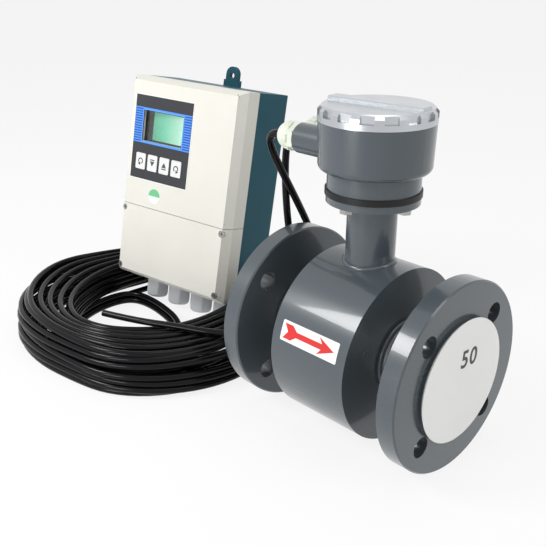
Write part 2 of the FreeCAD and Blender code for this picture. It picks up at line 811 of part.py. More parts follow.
def rear_ear(body, level, side):
    """Stepped lug with a rounded end and a hole, flush with the back of the case."""
    start = "case_depth - ear_thickness"
    root = f"{level} - {side} * 2 * case_round"
    foot = new_sketch(body, "XZ_Plane", start)
    low, high = sorted([root, f"{level} + {side} * ear_step"], key=value)
    pad(body, oblong(foot, "-ear_step_half", low, "ear_step_half", high), "ear_thickness")
    crown = f"{level} + {side} * (ear_rise - ear_half)"
    shank = new_sketch(body, "XZ_Plane", start)
    low, high = sorted([root, crown], key=value)
    pad(body, oblong(shank, "-ear_half", low, "ear_half", high), "ear_thickness")
    tip = new_sketch(body, "XZ_Plane", start)
    pad(body, disc(tip, "0", crown, "ear_half"), "ear_thickness")
    hole = new_sketch(body, "XZ_Plane", start)
    pocket(body, disc(hole, "0", f"{level} + {side} * ear_hole_rise", "ear_hole"), "ear_thickness")


def make_rear_housing():
    """Deep rear casting: rounded back, wall all round, bosses for screws and board, gland holes, ears."""
    body = new_body("rear_housing")
    block = new_sketch(body, "XZ_Plane", REAR_FACE)
    oblong(block, "-case_width / 2", "0", "case_width / 2", "case_height")
    pad(body, block, f"case_depth - {REAR_FACE}")
    dress(body, "Fillet", "case_round", lambda centre, edge: near(centre.y, "case_depth"))
    inside = new_sketch(body, "XZ_Plane", REAR_FACE)
    half = "(case_width / 2 - case_wall)"
    oblong(inside, f"-{half}", "case_wall", half, "case_height - case_wall")
    pocket(body, inside, f"case_depth - case_wall - {REAR_FACE}")
    bosses = new_sketch(body, "XZ_Plane", REAR_FACE)
    holes = new_sketch(body, "XZ_Plane", REAR_FACE)
    for x, z in SCREW_PLACES:
        disc(bosses, x, z, "case_boss_radius")
        disc(holes, x, z, "case_screw_radius + seat_fit")
    pad(body, bosses, f"case_depth - case_wall / 2 - {REAR_FACE}")
    pocket(body, holes, "case_screw_length")
    board_back = "(main_board_depth + board_thickness)"
    pillars = new_sketch(body, "XZ_Plane", board_back)
    for x in (f"{BOARD_HALF} - pillar_inset", f"-{BOARD_HALF} + pillar_inset"):
        for z in (f"{BOARD_LOW} + pillar_inset", f"{BOARD_HIGH} - pillar_inset"):
            disc(pillars, x, z, "pillar_radius")
    pad(body, pillars, f"case_depth - case_wall / 2 - {board_back}")
    ports = new_sketch(body, "XY_Plane", "-case_wall")
    for k in range(4):
        disc(ports, f"({k} - 1.5) * {PORT_PITCH}", "port_depth", "port_stem + running_gap")
    pocket(body, ports, "3 * case_wall")
    rear_ear(body, "case_height", 1)
    rear_ear(body, "0", -1)
    stand(body)


def cover_shell(label, low, high, bevel_level, bevel_rise, bevel_side):
    """Dished cover between two heights, bevelled along both sides and along its free edge."""
    body = new_body(label)
    half = "case_width / 2"
    face = new_sketch(body, "XZ_Plane")
    pad(body, oblong(face, f"-{half}", low, half, high), "cover_depth")
    sides = new_sketch(body, "XY_Plane", low)
    outline(sides, [(half, "0"), (f"{half} - side_bevel", "0"), (half, "bevel_depth")])
    outline(sides, [(f"-{half}", "0"), (f"-{half}", "bevel_depth"), (f"-{half} + side_bevel", "0")])
    pocket(body, sides, f"{high} - {low}")
    edge = new_sketch(body, "YZ_Plane", f"-{half}")
    outline(edge, [("0", bevel_level), ("0", f"{bevel_level} - {bevel_side} * {bevel_rise}"),
                   ("bevel_depth", bevel_level)])
    pocket(body, edge, "case_width")
    inset = "(side_bevel + cover_wall / 2)"
    dish = new_sketch(body, "XZ_Plane", "cover_wall")
    oblong(dish, f"-{half} + {inset}", f"{low} + {inset}", f"{half} - {inset}", f"{high} - {inset}")
    pocket(body, dish, "cover_depth - cover_wall")
    rim = new_sketch(body, "XZ_Plane", "bevel_depth")
    oblong(rim, f"-{half} + cover_wall", f"{low} + cover_wall",
           f"{half} - cover_wall", f"{high} - cover_wall")
    pocket(body, rim, "cover_depth - bevel_depth")
    return body


def key_rows():
    """The centre of each key along the face."""
    return [f"(key_first + {k} * key_pitch)" for k in range(4)]


def key_openings(sketch, gap):
    """A rectangle round each key, with a gap to it."""
    for x in key_rows():
        oblong(sketch, f"{x} - key_width / 2 - {gap}", f"{KEY_LEVEL} - key_height / 2 - {gap}",
               f"{x} + key_width / 2 + {gap}", f"{KEY_LEVEL} + key_height / 2 + {gap}")
    return sketch


POSTS = [
    (x, z)
    for x in ("panel_left + post_inset", "panel_right - post_inset")
    for z in (f"{PANEL_LOW} + post_inset", f"{PANEL_HIGH} - post_inset")
]


def make_front_cover():
    """Upper cover with the recess for the keypad, the display window, key holes and board posts."""
    foot = "(split_height + split_gap / 2)"
    body = cover_shell("front_cover", foot, "case_height", "case_height", "top_bevel", 1)
    seat = new_sketch(body, "XZ_Plane")
    pocket(body, oblong(seat, "panel_left", PANEL_LOW, "panel_right", PANEL_HIGH), "panel_recess")
    window = new_sketch(body, "XZ_Plane")
    pocket(body, oblong(window, "window_left", WINDOW_LOW, "window_right", WINDOW_HIGH), "cover_wall")
    wells = new_sketch(body, "XZ_Plane")
    pocket(body, key_openings(wells, "key_gap"), "panel_recess + key_travel")
    slots = new_sketch(body, "XZ_Plane")
    for x in key_rows():
        reach = "(plunger_half + running_gap)"
        oblong(slots, f"{x} - {reach}", f"{KEY_LEVEL} - {reach}", f"{x} + {reach}", f"{KEY_LEVEL} + {reach}")
    pocket(body, slots, "cover_wall")
    posts = new_sketch(body, "XZ_Plane", "cover_wall / 2")
    for x, z in POSTS:
        disc(posts, x, z, "post_radius")
    pad(body, posts, "board_front - cover_wall / 2")
    stand(body)


def make_terminal_cover():
    """Lower cover over the terminals, with four counterbored screw holes in their bosses."""
    body = cover_shell("terminal_cover", "0", "(split_height - split_gap / 2)", "0", "foot_bevel", -1)
    bosses = new_sketch(body, "XZ_Plane", "cover_wall")
    bores = new_sketch(body, "XZ_Plane")
    sinks = new_sketch(body, "XZ_Plane")
    for x, z in SCREW_PLACES:
        disc(bosses, x, z, "case_boss_radius")
        disc(bores, x, z, "case_screw_radius + running_gap")
        disc(sinks, x, z, "case_screw_head + running_gap")
    pad(body, bosses, "cover_depth - cover_wall")
    pocket(body, bores, "cover_depth")
    pocket(body, sinks, "case_screw_sunk + case_screw_head_height")
    stand(body)


def make_cover_seal():
    """Rubber frame between the covers and the rear casting, with a bar along the split."""
    body = new_body("cover_seal")
    frame = new_sketch(body, "XZ_Plane", "cover_depth")
    outer = "(case_width / 2 - case_seal_inset)"
    inner = "(case_width / 2 - cover_wall)"
    oblong(frame, f"-{outer}", "case_seal_inset", outer, "case_height - case_seal_inset")
    oblong(frame, f"-{inner}", "cover_wall", inner, "case_height - cover_wall")
    pad(body, frame, "case_seal")
    stand(body)


def make_cover_screws():
    """Pan-head screws of the terminal cover."""
    screws = []
    for x, z in SCREW_PLACES:
        head = rod("case_screw_head", "case_screw_head_height", x, "case_screw_sunk", z, (0, 1, 0))
        seat = "case_screw_sunk + case_screw_head_height"
        shank = rod("case_screw_radius", "case_screw_length", x, seat, z, (0, 1, 0))
        screws.append(joined(head, shank))
    stand(group("cover_screws", screws))


def make_keypad():
    """Keypad plate with the openings for the display and the keys, and the keys with their plungers."""
    panel = new_body("keypad_panel")
    front = "panel_recess - panel_thickness"
    face = new_sketch(panel, "XZ_Plane", front)
    oblong(face, "panel_left + seat_fit", f"{PANEL_LOW} + seat_fit", "panel_right - seat_fit",
           f"{PANEL_HIGH} - seat_fit")
    oblong(face, "window_left", WINDOW_LOW, "window_right", WINDOW_HIGH)
    key_openings(face, "key_gap")
    pad(panel, face, "panel_thickness")
    stand(panel)
    tip = "(board_front - switch_height - key_travel)"
    for name, x in zip(("key_menu", "key_down", "key_up", "key_enter"), key_rows()):
        key = new_body(name)
        cap = new_sketch(key, "XZ_Plane", "-key_proud")
        oblong(cap, f"{x} - key_width / 2", f"{KEY_LEVEL} - key_height / 2", f"{x} + key_width / 2",
               f"{KEY_LEVEL} + key_height / 2")
        pad(key, cap, "key_proud + panel_recess")
        middle = "(panel_recess - key_proud) / 2"
        dress(key, "Fillet", "key_corner",
              lambda centre, edge: near(centre.y, middle) and len(edge.Vertexes) == 2)
        stem = new_sketch(key, "XZ_Plane", "panel_recess")
        oblong(stem, f"{x} - plunger_half", f"{KEY_LEVEL} - plunger_half", f"{x} + plunger_half",
               f"{KEY_LEVEL} + plunger_half")
        pad(key, stem, f"{tip} - panel_recess")
        stand(key)


def make_display():
    """Window glass, display module with its frame, and the board that carries it and the switches."""
    glass = new_body("display_window")
    pane = new_sketch(glass, "XZ_Plane", "cover_wall")
    oblong(pane, "window_left - glass_lap", f"{WINDOW_LOW} - glass_lap", "window_right + glass_lap",
           f"{WINDOW_HIGH} + glass_lap")
    pad(glass, pane, "glass_thickness")
    stand(glass)
    module = new_body("display_module")
    glass_back = "(cover_wall + glass_thickness)"
    edge = "display_frame"
    block = new_sketch(module, "XZ_Plane", glass_back)
    oblong(block, f"window_left - {edge}", f"{WINDOW_LOW} - {edge}", f"window_right + {edge}",
           f"{WINDOW_HIGH} + {edge}")
    pad(module, block, f"board_front - {glass_back}")
    well = new_sketch(module, "XZ_Plane", glass_back)
    oblong(well, "window_left", WINDOW_LOW, "window_right", WINDOW_HIGH)
    pocket(module, well, f"display_face - {glass_back}")
    stand(module)
    board = new_body("key_board")
    sheet_face = new_sketch(board, "XZ_Plane", "board_front")
    oblong(sheet_face, "panel_left - board_margin", f"{PANEL_LOW} - board_margin",
           "panel_right + board_margin", f"{PANEL_HIGH} + board_margin")
    pad(board, sheet_face, "board_thickness")
    switches = new_sketch(board, "XZ_Plane", "board_front - switch_height")
    for x in key_rows():
        disc(switches, x, KEY_LEVEL, "switch_radius")
    pad(board, switches, "switch_height")
    stand(board)


def make_electronics():
    """Main board on its pillars, the power supply on it, and the terminal strip in the lower part."""
    board = new_body("main_board")
    face = new_sketch(board, "XZ_Plane", "main_board_depth")
    pad(board, oblong(face, f"-{BOARD_HALF}", BOARD_LOW, BOARD_HALF, BOARD_HIGH),
        "board_thickness")
    stand(board)
    supply = new_body("power_module")
    can = new_sketch(supply, "XZ_Plane", "main_board_depth - supply_depth")
    foot = f"({BOARD_LOW} + supply_foot)"
    pad(supply, oblong(can, "-supply_half", foot, "supply_half", f"{foot} + supply_height"), "supply_depth")
    dress(supply, "Fillet", "board_thickness",
          lambda centre, edge: near(centre.y, "main_board_depth - supply_depth"))
    stand(supply)
    strip = new_body("terminal_strip")
    back = "(case_depth - case_wall)"
    base = new_sketch(strip, "XZ_Plane", f"{back} - strip_depth")
    pad(strip, oblong(base, "-strip_half", "strip_low", "strip_half", "strip_high"), "strip_depth")
    step = new_sketch(strip, "XZ_Plane", f"{back} - strip_depth")
    oblong(step, "-case_width / 2", "strip_low - strip_step", "case_width / 2", "strip_low + strip_step")
    pocket(strip, step, "strip_depth / 2")
    stand(strip)


def make_port_glands():
    """Four glands under the converter, each closed by a blanking plug."""
    plugs = []
    for k in range(4):
        body, nut = make_gland("port", f"gland_body_{k + 1}", f"gland_cap_{k + 1}")
        x = f"({k} - 1.5) * {PORT_PITCH}"
        local = FreeCAD.Placement(V(value(x), value("port_depth"), 0), FreeCAD.Rotation(V(1, 0, 0), 180))
        stand(body, local)
        stand(nut, local)
        length = "port_collar + port_nut_length"
        plugs.append(rod("port_bore", length, x, "port_depth", f"-({length})"))
    stand(group("gland_plugs", plugs))


# ---- cables ----

def rounded_path(points, label):
    """A wire of straight runs joined by tangent arcs, each arc as large as its two runs allow."""
    points = [V(*point) for point in points]
    edges = []
    radii = []
    start = points[0]
    for before, corner, after in zip(points, points[1:], points[2:]):
        back = before.sub(corner)
        ahead = after.sub(corner)
        half_turn = (math.pi - back.getAngle(ahead)) / 2
        trim = 0.45 * min(back.Length, ahead.Length)
        radii.append(trim / math.tan(half_turn))
        back.normalize()
        ahead.normalize()
        first = corner + back * trim
        last = corner + ahead * trim
        inward = back + ahead
        inward.normalize()
        sagitta = radii[-1] * (1 / math.cos(half_turn) - 1)
        edges.append(Part.LineSegment(start, first).toShape())
        edges.append(Part.Arc(first, corner + inward * sagitta, last).toShape())
        start = last
    edges.append(Part.LineSegment(start, points[-1]).toShape())
    print(f"{label}: radii", " ".join(f"{radius:.0f}" for radius in radii))
    return Part.Wire(edges)


def make_cord(label, points):
    """One free stretch of cable: a round tube along its route."""
    radius = value("cable_radius")
    path = rounded_path(points, label)
    heading = V(*points[1]).sub(V(*points[0]))
    section = Part.Wire(Part.makeCircle(radius, V(*points[0]), heading))
    tube = path.makePipeShell([section], True, False)
    wanted = math.pi * radius**2 * path.Length
    print(f"{label}: length {path.Length:.0f}, volume {tube.Volume:.0f} against {wanted:.0f}")
    if abs(tube.Volume / wanted - 1) > 0.01:
        raise RuntimeError(f"{label}: the tube's volume doesn't fit its length")
    cord = doc.addObject("Part::Feature", label)
    cord.Shape = tube
    return keep(cord, label)


def oval(inset, height):
    """An upright oval drum about the coil's own axis."""
    curve = doc.addObject("Part::Ellipse", "oval")
    curve.setExpression("MajorRadius", bound(f"ring_major - {inset}"))
    curve.setExpression("MinorRadius", bound(f"ring_minor - {inset}"))
    drum = doc.addObject("Part::Extrusion", "drum")
    drum.Base = curve
    drum.DirMode = "Custom"
    drum.Dir = V(0, 0, 1)
    drum.Solid = True
    drum.setExpression("LengthFwd", bound(height))
    return drum


def make_coil():
    """Coil of both cables: an oval ring with rounded edges, hollowed where the converter leans over it."""
    ring = trimmed(oval("0", "ring_height"), oval("ring_width", "ring_height"))
    place(ring, "coil_x", "coil_y", "floor_level", FreeCAD.Rotation(V(0, 0, 1), value("coil_turn")))
    doc.recompute()
    soft = doc.addObject("Part::Fillet", "soft_ring")
    soft.Base = ring
    top = value("floor_level + ring_height")
    floor = value("floor_level")
    rounds = []
    for index, edge in enumerate(ring.Shape.Edges, start=1):
        level = edge.CenterOfMass.z
        flat = edge.BoundBox.ZLength < 1e-6
        if flat and abs(level - top) < 1e-4:
            rounds.append((index, value("ring_round"), value("ring_round")))
        elif flat and abs(level - floor) < 1e-4:
            rounds.append((index, value("ring_round") / 2, value("ring_round") / 2))
    soft.Edges = rounds
    clear = doc.addObject("Part::Box", "case_clearance")
    clear.setExpression("Length", bound("case_width + 2 * ring_clearance"))
    clear.setExpression("Width", bound("case_depth + 2 * ring_clearance"))
    clear.setExpression("Height", bound("case_height"))
    corner = V(-value("case_width / 2 + ring_clearance"), -value("ring_clearance"), -value("ring_clearance"))
    clear.Placement = lean().multiply(FreeCAD.Placement(corner, FreeCAD.Rotation()))
    keep(trimmed(soft, clear), "cable_coil")


def check_and_write():
    """Refuses failed features and bad shapes, then writes each sub-part to its own file."""
    doc.recompute()
    for item in doc.Objects:
        if "Invalid" in item.State or "Error" in item.State:
            raise RuntimeError(f"{item.Label} is {item.State}")
    os.makedirs("parts", exist_ok=True)
    for piece in PARTS:
        shape = piece.Shape
        if shape.isNull() or not shape.isValid() or not shape.Solids:
            raise RuntimeError(f"{piece.Label} has no valid solid")
        shape.exportStep(f"parts/{piece.Label}.step")
    print(f"{len(PARTS)} sub-parts written")


def main():
    """Builds every sub-part and writes the files."""
    fill_sheet()
    make_tube()
    make_liner()
    make_electrode("electrode_left", -1)
    make_electrode("electrode_right", 1)
    make_bushes()
    make_flange("inlet_flange", -1)
    make_flange("outlet_flange", 1)
    make_field()
    make_housing()
    make_neck()
    make_neck_bolts()
    make_junction_box()
    make_terminals()
    make_lid()
    make_entry_glands()
    make_rear_housing()
    make_front_cover()
    make_terminal_cover()
    make_cover_seal()
    make_cover_screws()
    make_keypad()
    make_display()
    make_electronics()
    make_port_glands()
    make_coil()
    make_cord("signal_cable", SIGNAL_ROUTE)
    make_cord("excitation_cable", EXCITATION_ROUTE)
    make_cord("cable_tail", TAIL_ROUTE)
    check_and_write()


main()
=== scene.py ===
import logging
import math
from dataclasses import dataclass
from enum import Enum
from typing import Iterable, Sequence

import bmesh
import bpy
from mathutils import Matrix, Vector


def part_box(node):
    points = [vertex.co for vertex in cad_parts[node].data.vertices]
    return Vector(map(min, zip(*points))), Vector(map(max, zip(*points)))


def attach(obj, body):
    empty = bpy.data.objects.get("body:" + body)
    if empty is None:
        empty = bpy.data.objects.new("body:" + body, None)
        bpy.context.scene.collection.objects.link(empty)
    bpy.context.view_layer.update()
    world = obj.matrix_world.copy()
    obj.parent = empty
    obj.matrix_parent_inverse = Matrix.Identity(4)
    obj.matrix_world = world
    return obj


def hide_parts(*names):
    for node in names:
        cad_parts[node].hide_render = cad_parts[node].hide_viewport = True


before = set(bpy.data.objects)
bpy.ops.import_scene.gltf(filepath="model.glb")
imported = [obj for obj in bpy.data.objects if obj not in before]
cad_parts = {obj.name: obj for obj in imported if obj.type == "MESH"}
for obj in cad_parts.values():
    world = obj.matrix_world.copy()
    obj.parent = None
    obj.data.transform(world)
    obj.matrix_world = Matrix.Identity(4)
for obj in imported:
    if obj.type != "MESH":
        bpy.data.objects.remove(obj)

LOG = logging.getLogger("flow_meter")
MM = 0.001
FLOOR = -82.5
Point = tuple[float, float, float]
Flat = tuple[float, float]
Colour = tuple[float, float, float]


# ---- meshes ----

def metres(points: Iterable[Sequence[float]]) -> list[Vector]:
    """The points, given in millimetres, as vectors in metres."""
    return [Vector(point) * MM for point in points]


def show(obj: bpy.types.Object) -> bpy.types.Object:
    """Links an object into the scene and returns it."""
    bpy.context.scene.collection.objects.link(obj)
    return obj


def piece(name: str, mesh: bpy.types.Mesh, finish: bpy.types.Material,
          body: str = "root") -> bpy.types.Object:
    """Makes a finished piece from a mesh that already lies in its place.

    Args:
        name: the piece's name.
        mesh: its mesh, in metres in the part's own frame.
        finish: its material.
        body: the body that it rides on.

    Returns:
        The linked object, at the origin.
    """
    mesh.materials.clear()
    mesh.materials.append(finish)
    obj = show(bpy.data.objects.new(name, mesh))
    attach(obj, body)
    LOG.info("piece %s on %s, %d faces", name, body, len(mesh.polygons))
    return obj


def to_mesh(bm: bmesh.types.BMesh, name: str, place: Matrix, smooth: bool = False) -> bpy.types.Mesh:
    """Turns an edit mesh in millimetres into a mesh in metres at its place.

    Args:
        bm: the edit mesh, freed here.
        name: the mesh's name.
        place: the transform from the maker's own axes to the part's frame, in millimetres.
        smooth: whether its faces are shaded smooth.

    Returns:
        The mesh.
    """
    bmesh.ops.remove_doubles(bm, verts=bm.verts, dist=1e-4)
    bmesh.ops.recalc_face_normals(bm, faces=bm.faces)
    for face in bm.faces:
        face.smooth = smooth
    mesh = bpy.data.meshes.new(name)
    bm.to_mesh(mesh)
    bm.free()
    mesh.transform(Matrix.Scale(MM, 4) @ place)
    return mesh


def slab(bm: bmesh.types.BMesh, corners: Sequence[Flat], low: float, high: float) -> None:
    """Adds a flat plate with an outline in X and Y, from one level to another.

    Args:
        bm: the edit mesh that it joins.
        corners: the outline, in order.
        low: the level of its underside.
        high: the level of its face.
    """
    feet = [bm.verts.new((x, y, low)) for x, y in corners]
    tops = [bm.verts.new((x, y, high)) for x, y in corners]
    layer = bm.loops.layers.uv.verify()
    faces = [bm.faces.new(tops), bm.faces.new(feet[::-1])]
    for index in range(len(corners)):
        after = (index + 1) % len(corners)
        faces.append(bm.faces.new((feet[index], feet[after], tops[after], tops[index])))
    for face in faces:
        for loop in face.loops:
            loop[layer].uv = (loop.vert.co.x, loop.vert.co.y)


def rotation(degrees: float, axis: str) -> Matrix:
    """A turn about an axis."""
    return Matrix.Rotation(math.radians(degrees), 4, axis)


def box_corners(left: float, low: float, right: float, high: float) -> list[Flat]:
    """The corners of a rectangle."""
    return [(left, low), (right, low), (right, high), (left, high)]


def round_corners(left: float, low: float, right: float, high: float, radius: float) -> list[Flat]:
    """The outline of a rectangle whose corners are rounded by a radius."""
    centres = ((right - radius, high - radius, 0), (left + radius, high - radius, 90),
               (left + radius, low + radius, 180), (right - radius, low + radius, 270))
    points = []
    for x, y, start in centres:
        for step in range(6):
            angle = math.radians(start + 18 * step)
            points.append((x + radius * math.cos(angle), y + radius * math.sin(angle)))
    return points


def circle(radius: float, count: int = 64, x: float = 0.0, y: float = 0.0) -> list[Flat]:
    """The corners of a circle about a point."""
    turn = 2 * math.pi / count
    return [(x + radius * math.cos(turn * k), y + radius * math.sin(turn * k)) for k in range(count)]


def border(left: float, low: float, right: float, high: float, width: float) -> list[list[Flat]]:
    """The four bars of a frame round the outside of a rectangle."""
    return [box_corners(left - width, low - width, left, high + width),
            box_corners(right, low - width, right + width, high + width),
            box_corners(left, low - width, right, low), box_corners(left, high, right, high + width)]


def closed_path(points: Sequence[Point]) -> bpy.types.Mesh:
    """A closed line of edges through some points."""
    mesh = bpy.data.meshes.new("closed_path")
    mesh.from_pydata(points, [(k, (k + 1) % len(points)) for k in range(len(points))], [])
    return mesh


def lathe(profile: Sequence[Flat], count: int = 96) -> bmesh.types.BMesh:
    """Spins a profile of (radius, level) pairs round Z.

    Args:
        profile: the section, from one end to the other. A radius of 0 closes it.
        count: the number of steps round.

    Returns:
        The edit mesh.
    """
    bm = bmesh.new()
    verts = [bm.verts.new((radius, 0, level)) for radius, level in profile]
    edges = [bm.edges.new(pair) for pair in zip(verts, verts[1:])]
    bmesh.ops.spin(bm, geom=verts + edges, cent=(0, 0, 0), axis=(0, 0, 1), angle=2 * math.pi, steps=count)
    return bm


def frozen(obj: bpy.types.Object, name: str, place: Matrix) -> bpy.types.Mesh:
    """Turns an object's finished shape into a plain mesh and removes the object.

    Args:
        obj: the object, in millimetres.
        name: the mesh's name.
        place: the transform from the maker's own axes to the part's frame, in millimetres.

    Returns:
        The mesh, in metres at its place.
    """
    graph = bpy.context.evaluated_depsgraph_get()
    mesh = bpy.data.meshes.new_from_object(obj.evaluated_get(graph), depsgraph=graph)
    mesh.name = name
    obj.modifiers.clear()
    bpy.data.objects.remove(obj)
    mesh.transform(Matrix.Scale(MM, 4) @ place)
    return mesh


# ---- node trees ----

class Wiring:
    """Short ways to add, feed and link nodes in a tree."""

    def __init__(self, tree: bpy.types.NodeTree) -> None:
        """Works on one tree."""
        self.tree = tree

    def feed(self, socket: bpy.types.NodeSocket, source: object) -> None:
        """Links a socket to another one, or gives it a number or a colour."""
        if isinstance(source, bpy.types.NodeSocket):
            self.tree.links.new(source, socket)
        else:
            socket.default_value = (*source, 1.0) if socket.type == "RGBA" else source

    def add(self, kind: str, sources: dict[str, object] | None = None, **settings: object) -> bpy.types.Node:
        """Adds a node.

        Args:
            kind: its type.
            sources: what feeds its inputs, by their names.
            **settings: its own settings.

        Returns:
            The node.
        """
        node = self.tree.nodes.new(kind)
        for key, setting in settings.items():
            setattr(node, key, setting)
        self.fill(node, sources or {})
        return node

    def fill(self, node: bpy.types.Node, sources: dict[str, object]) -> None:
        """Feeds a node's inputs, each by its name."""
        for name, source in sources.items():
            self.feed(node.inputs[name], source)

    def value(self, operation: str, *sources: object) -> bpy.types.NodeSocket:
        """Adds a math node on sockets or numbers and gives its output."""
        node = self.add("ShaderNodeMath", operation=operation)
        for socket, source in zip(node.inputs, sources):
            self.feed(socket, source)
        return node.outputs[0]

    def blend(self, mask: bpy.types.NodeSocket, first: object, second: object) -> bpy.types.NodeSocket:
        """Mixes two colours by a mask and gives the result."""
        node = self.add("ShaderNodeMix", {"Factor": mask}, data_type="RGBA")
        for name, source in (("A", first), ("B", second)):
            self.feed(next(s for s in node.inputs if s.type == "RGBA" and s.name == name), source)
        return next(s for s in node.outputs if s.type == "RGBA")

    def bump(self, height: bpy.types.NodeSocket, strength: float, distance: float) -> bpy.types.NodeSocket:
        """Adds a bump, its distance in metres, and gives the normal."""
        node = self.add("ShaderNodeBump", {"Height": height, "Strength": strength, "Distance": distance})
        return node.outputs["Normal"]

    def seen(self) -> bpy.types.NodeSocket:
        """A mask that is 1 for what is seen, straight on, mirrored or through glass, and 0 for light."""
        path = self.add("ShaderNodeLightPath")
        clear = self.value("MAXIMUM", path.outputs["Is Glossy Ray"], path.outputs["Is Transmission Ray"])
        return self.value("MAXIMUM", path.outputs["Is Camera Ray"], clear)


class Tree(Wiring):
    """A geometry node tree under construction."""

    def __init__(self, name: str, **sockets: str) -> None:
        """Starts a tree that takes geometry, named inputs and a material, and gives geometry.

        Args:
            name: the tree's name.
            **sockets: the kind of each named input.
        """
        super().__init__(bpy.data.node_groups.new(name, "GeometryNodeTree"))
        self.tree.interface.new_socket(name="Geometry", in_out="OUTPUT", socket_type="NodeSocketGeometry")
        for socket, kind in {"Geometry": "Geometry", **sockets, "Material": "Material"}.items():
            self.tree.interface.new_socket(name=socket, in_out="INPUT", socket_type=f"NodeSocket{kind}")
        self.given = self.add("NodeGroupInput").outputs

    def copies(self, points: bpy.types.NodeSocket, shape: bpy.types.NodeSocket,
               **more: bpy.types.NodeSocket) -> bpy.types.NodeSocket:
        """Sets a shape on each of some points.

        Args:
            points: the points.
            shape: the shape.
            **more: what feeds the node's other inputs.

        Returns:
            The copies.
        """
        placed = self.add("GeometryNodeInstanceOnPoints", {"Points": points, "Instance": shape, **more})
        return placed.outputs["Instances"]

    def close(self, geometry: bpy.types.NodeSocket, smooth: bool = False) -> bpy.types.GeometryNodeTree:
        """Ends the tree in real geometry that carries its material.

        Args:
            geometry: the socket with the finished geometry.
            smooth: whether it is shaded smooth.

        Returns:
            The tree.
        """
        real = self.add("GeometryNodeRealizeInstances", {"Geometry": geometry})
        shade = self.add("GeometryNodeSetShadeSmooth",
                         {"Geometry": real.outputs["Geometry"], "Shade Smooth": smooth})
        paint = self.add("GeometryNodeSetMaterial",
                         {"Geometry": shade.outputs["Geometry"], "Material": self.given["Material"]})
        self.add("NodeGroupOutput", {"Geometry": paint.outputs["Geometry"]})
        return self.tree


def copies_tree() -> bpy.types.GeometryNodeTree:
    """A tree that sets a copy of one object on each vertex of the mesh that it is given."""
    tree = Tree("copies_on_points", Shape="Object")
    shape = tree.add("GeometryNodeObjectInfo", {"Object": tree.given["Shape"]})
    return tree.close(tree.copies(tree.given["Geometry"], shape.outputs["Geometry"]))


def row_tree() -> bpy.types.GeometryNodeTree:
    """A tree that makes a straight row of equal bars."""
    tree = Tree("row_of_bars", Count="Int", Start="Vector", Step="Vector", Bar="Vector")
    given = tree.given
    line = tree.add("GeometryNodeMeshLine", {"Count": given["Count"], "Start Location": given["Start"],
                                             "Offset": given["Step"]}, mode="OFFSET")
    bar = tree.add("GeometryNodeMeshCube", {"Size": tree.given["Bar"]})
    return tree.close(tree.copies(line.outputs["Mesh"], bar.outputs["Mesh"]))


def ring_tree() -> bpy.types.GeometryNodeTree:
    """A tree that sets equal bars round a circle, each turned to face outwards."""
    tree = Tree("ring_of_bars", Count="Int", Radius="Float", Bar="Vector")
    ring = tree.add("GeometryNodeMeshCircle",
                    {"Vertices": tree.given["Count"], "Radius": tree.given["Radius"]})
    bar = tree.add("GeometryNodeMeshCube", {"Size": tree.given["Bar"]})
    share = tree.value("DIVIDE", tree.add("GeometryNodeInputIndex").outputs["Index"], tree.given["Count"])
    turn = tree.add("ShaderNodeCombineXYZ", {"Z": tree.value("MULTIPLY", share, 2 * math.pi)})
    return tree.close(tree.copies(ring.outputs["Mesh"], bar.outputs["Mesh"], Rotation=turn.outputs["Vector"]))


def bead_tree() -> bpy.types.GeometryNodeTree:
    """A tree that lays a round bead along the edges of the mesh that it is given."""
    tree = Tree("bead_along_path", Radius="Float", Sides="Int")
    path = tree.add("GeometryNodeMeshToCurve", {"Mesh": tree.given["Geometry"]})
    section = tree.add("GeometryNodeCurvePrimitiveCircle",
                       {"Radius": tree.given["Radius"], "Resolution": tree.given["Sides"]})
    swept = tree.add("GeometryNodeCurveToMesh",
                     {"Curve": path.outputs["Curve"], "Profile Curve": section.outputs["Curve"]})
    return tree.close(swept.outputs["Mesh"], True)


def grown(tree: bpy.types.GeometryNodeTree, name: str, place: Matrix, base: bpy.types.Mesh | None = None,
          **inputs: object) -> bpy.types.Mesh:
    """Runs a tree once and gives its result as a plain mesh.

    Args:
        tree: the tree to run.
        name: the mesh's name.
        place: the transform from the maker's own axes to the part's frame, in millimetres.
        base: the mesh that the tree starts from.
        **inputs: a value for each named input.

    Returns:
        The mesh, in metres at its place.
    """
    holder = show(bpy.data.objects.new(f"{name}_holder", base or bpy.data.meshes.new(f"{name}_base")))
    modifier = holder.modifiers.new("made", "NODES")
    modifier.node_group = tree
    for item in tree.interface.items_tree:
        if item.item_type == "SOCKET" and item.in_out == "INPUT" and item.name in inputs:
            modifier[item.identifier] = inputs[item.name]
    return frozen(holder, name, place)


# ---- finishes ----

def blank(name: str) -> tuple[bpy.types.Material, Wiring, bpy.types.Node]:
    """Starts a material.

    Args:
        name: its name.

    Returns:
        The material, its wiring and its shader.
    """
    material = bpy.data.materials.new(name)
    material.use_nodes = True
    return material, Wiring(material.node_tree), material.node_tree.nodes["Principled BSDF"]


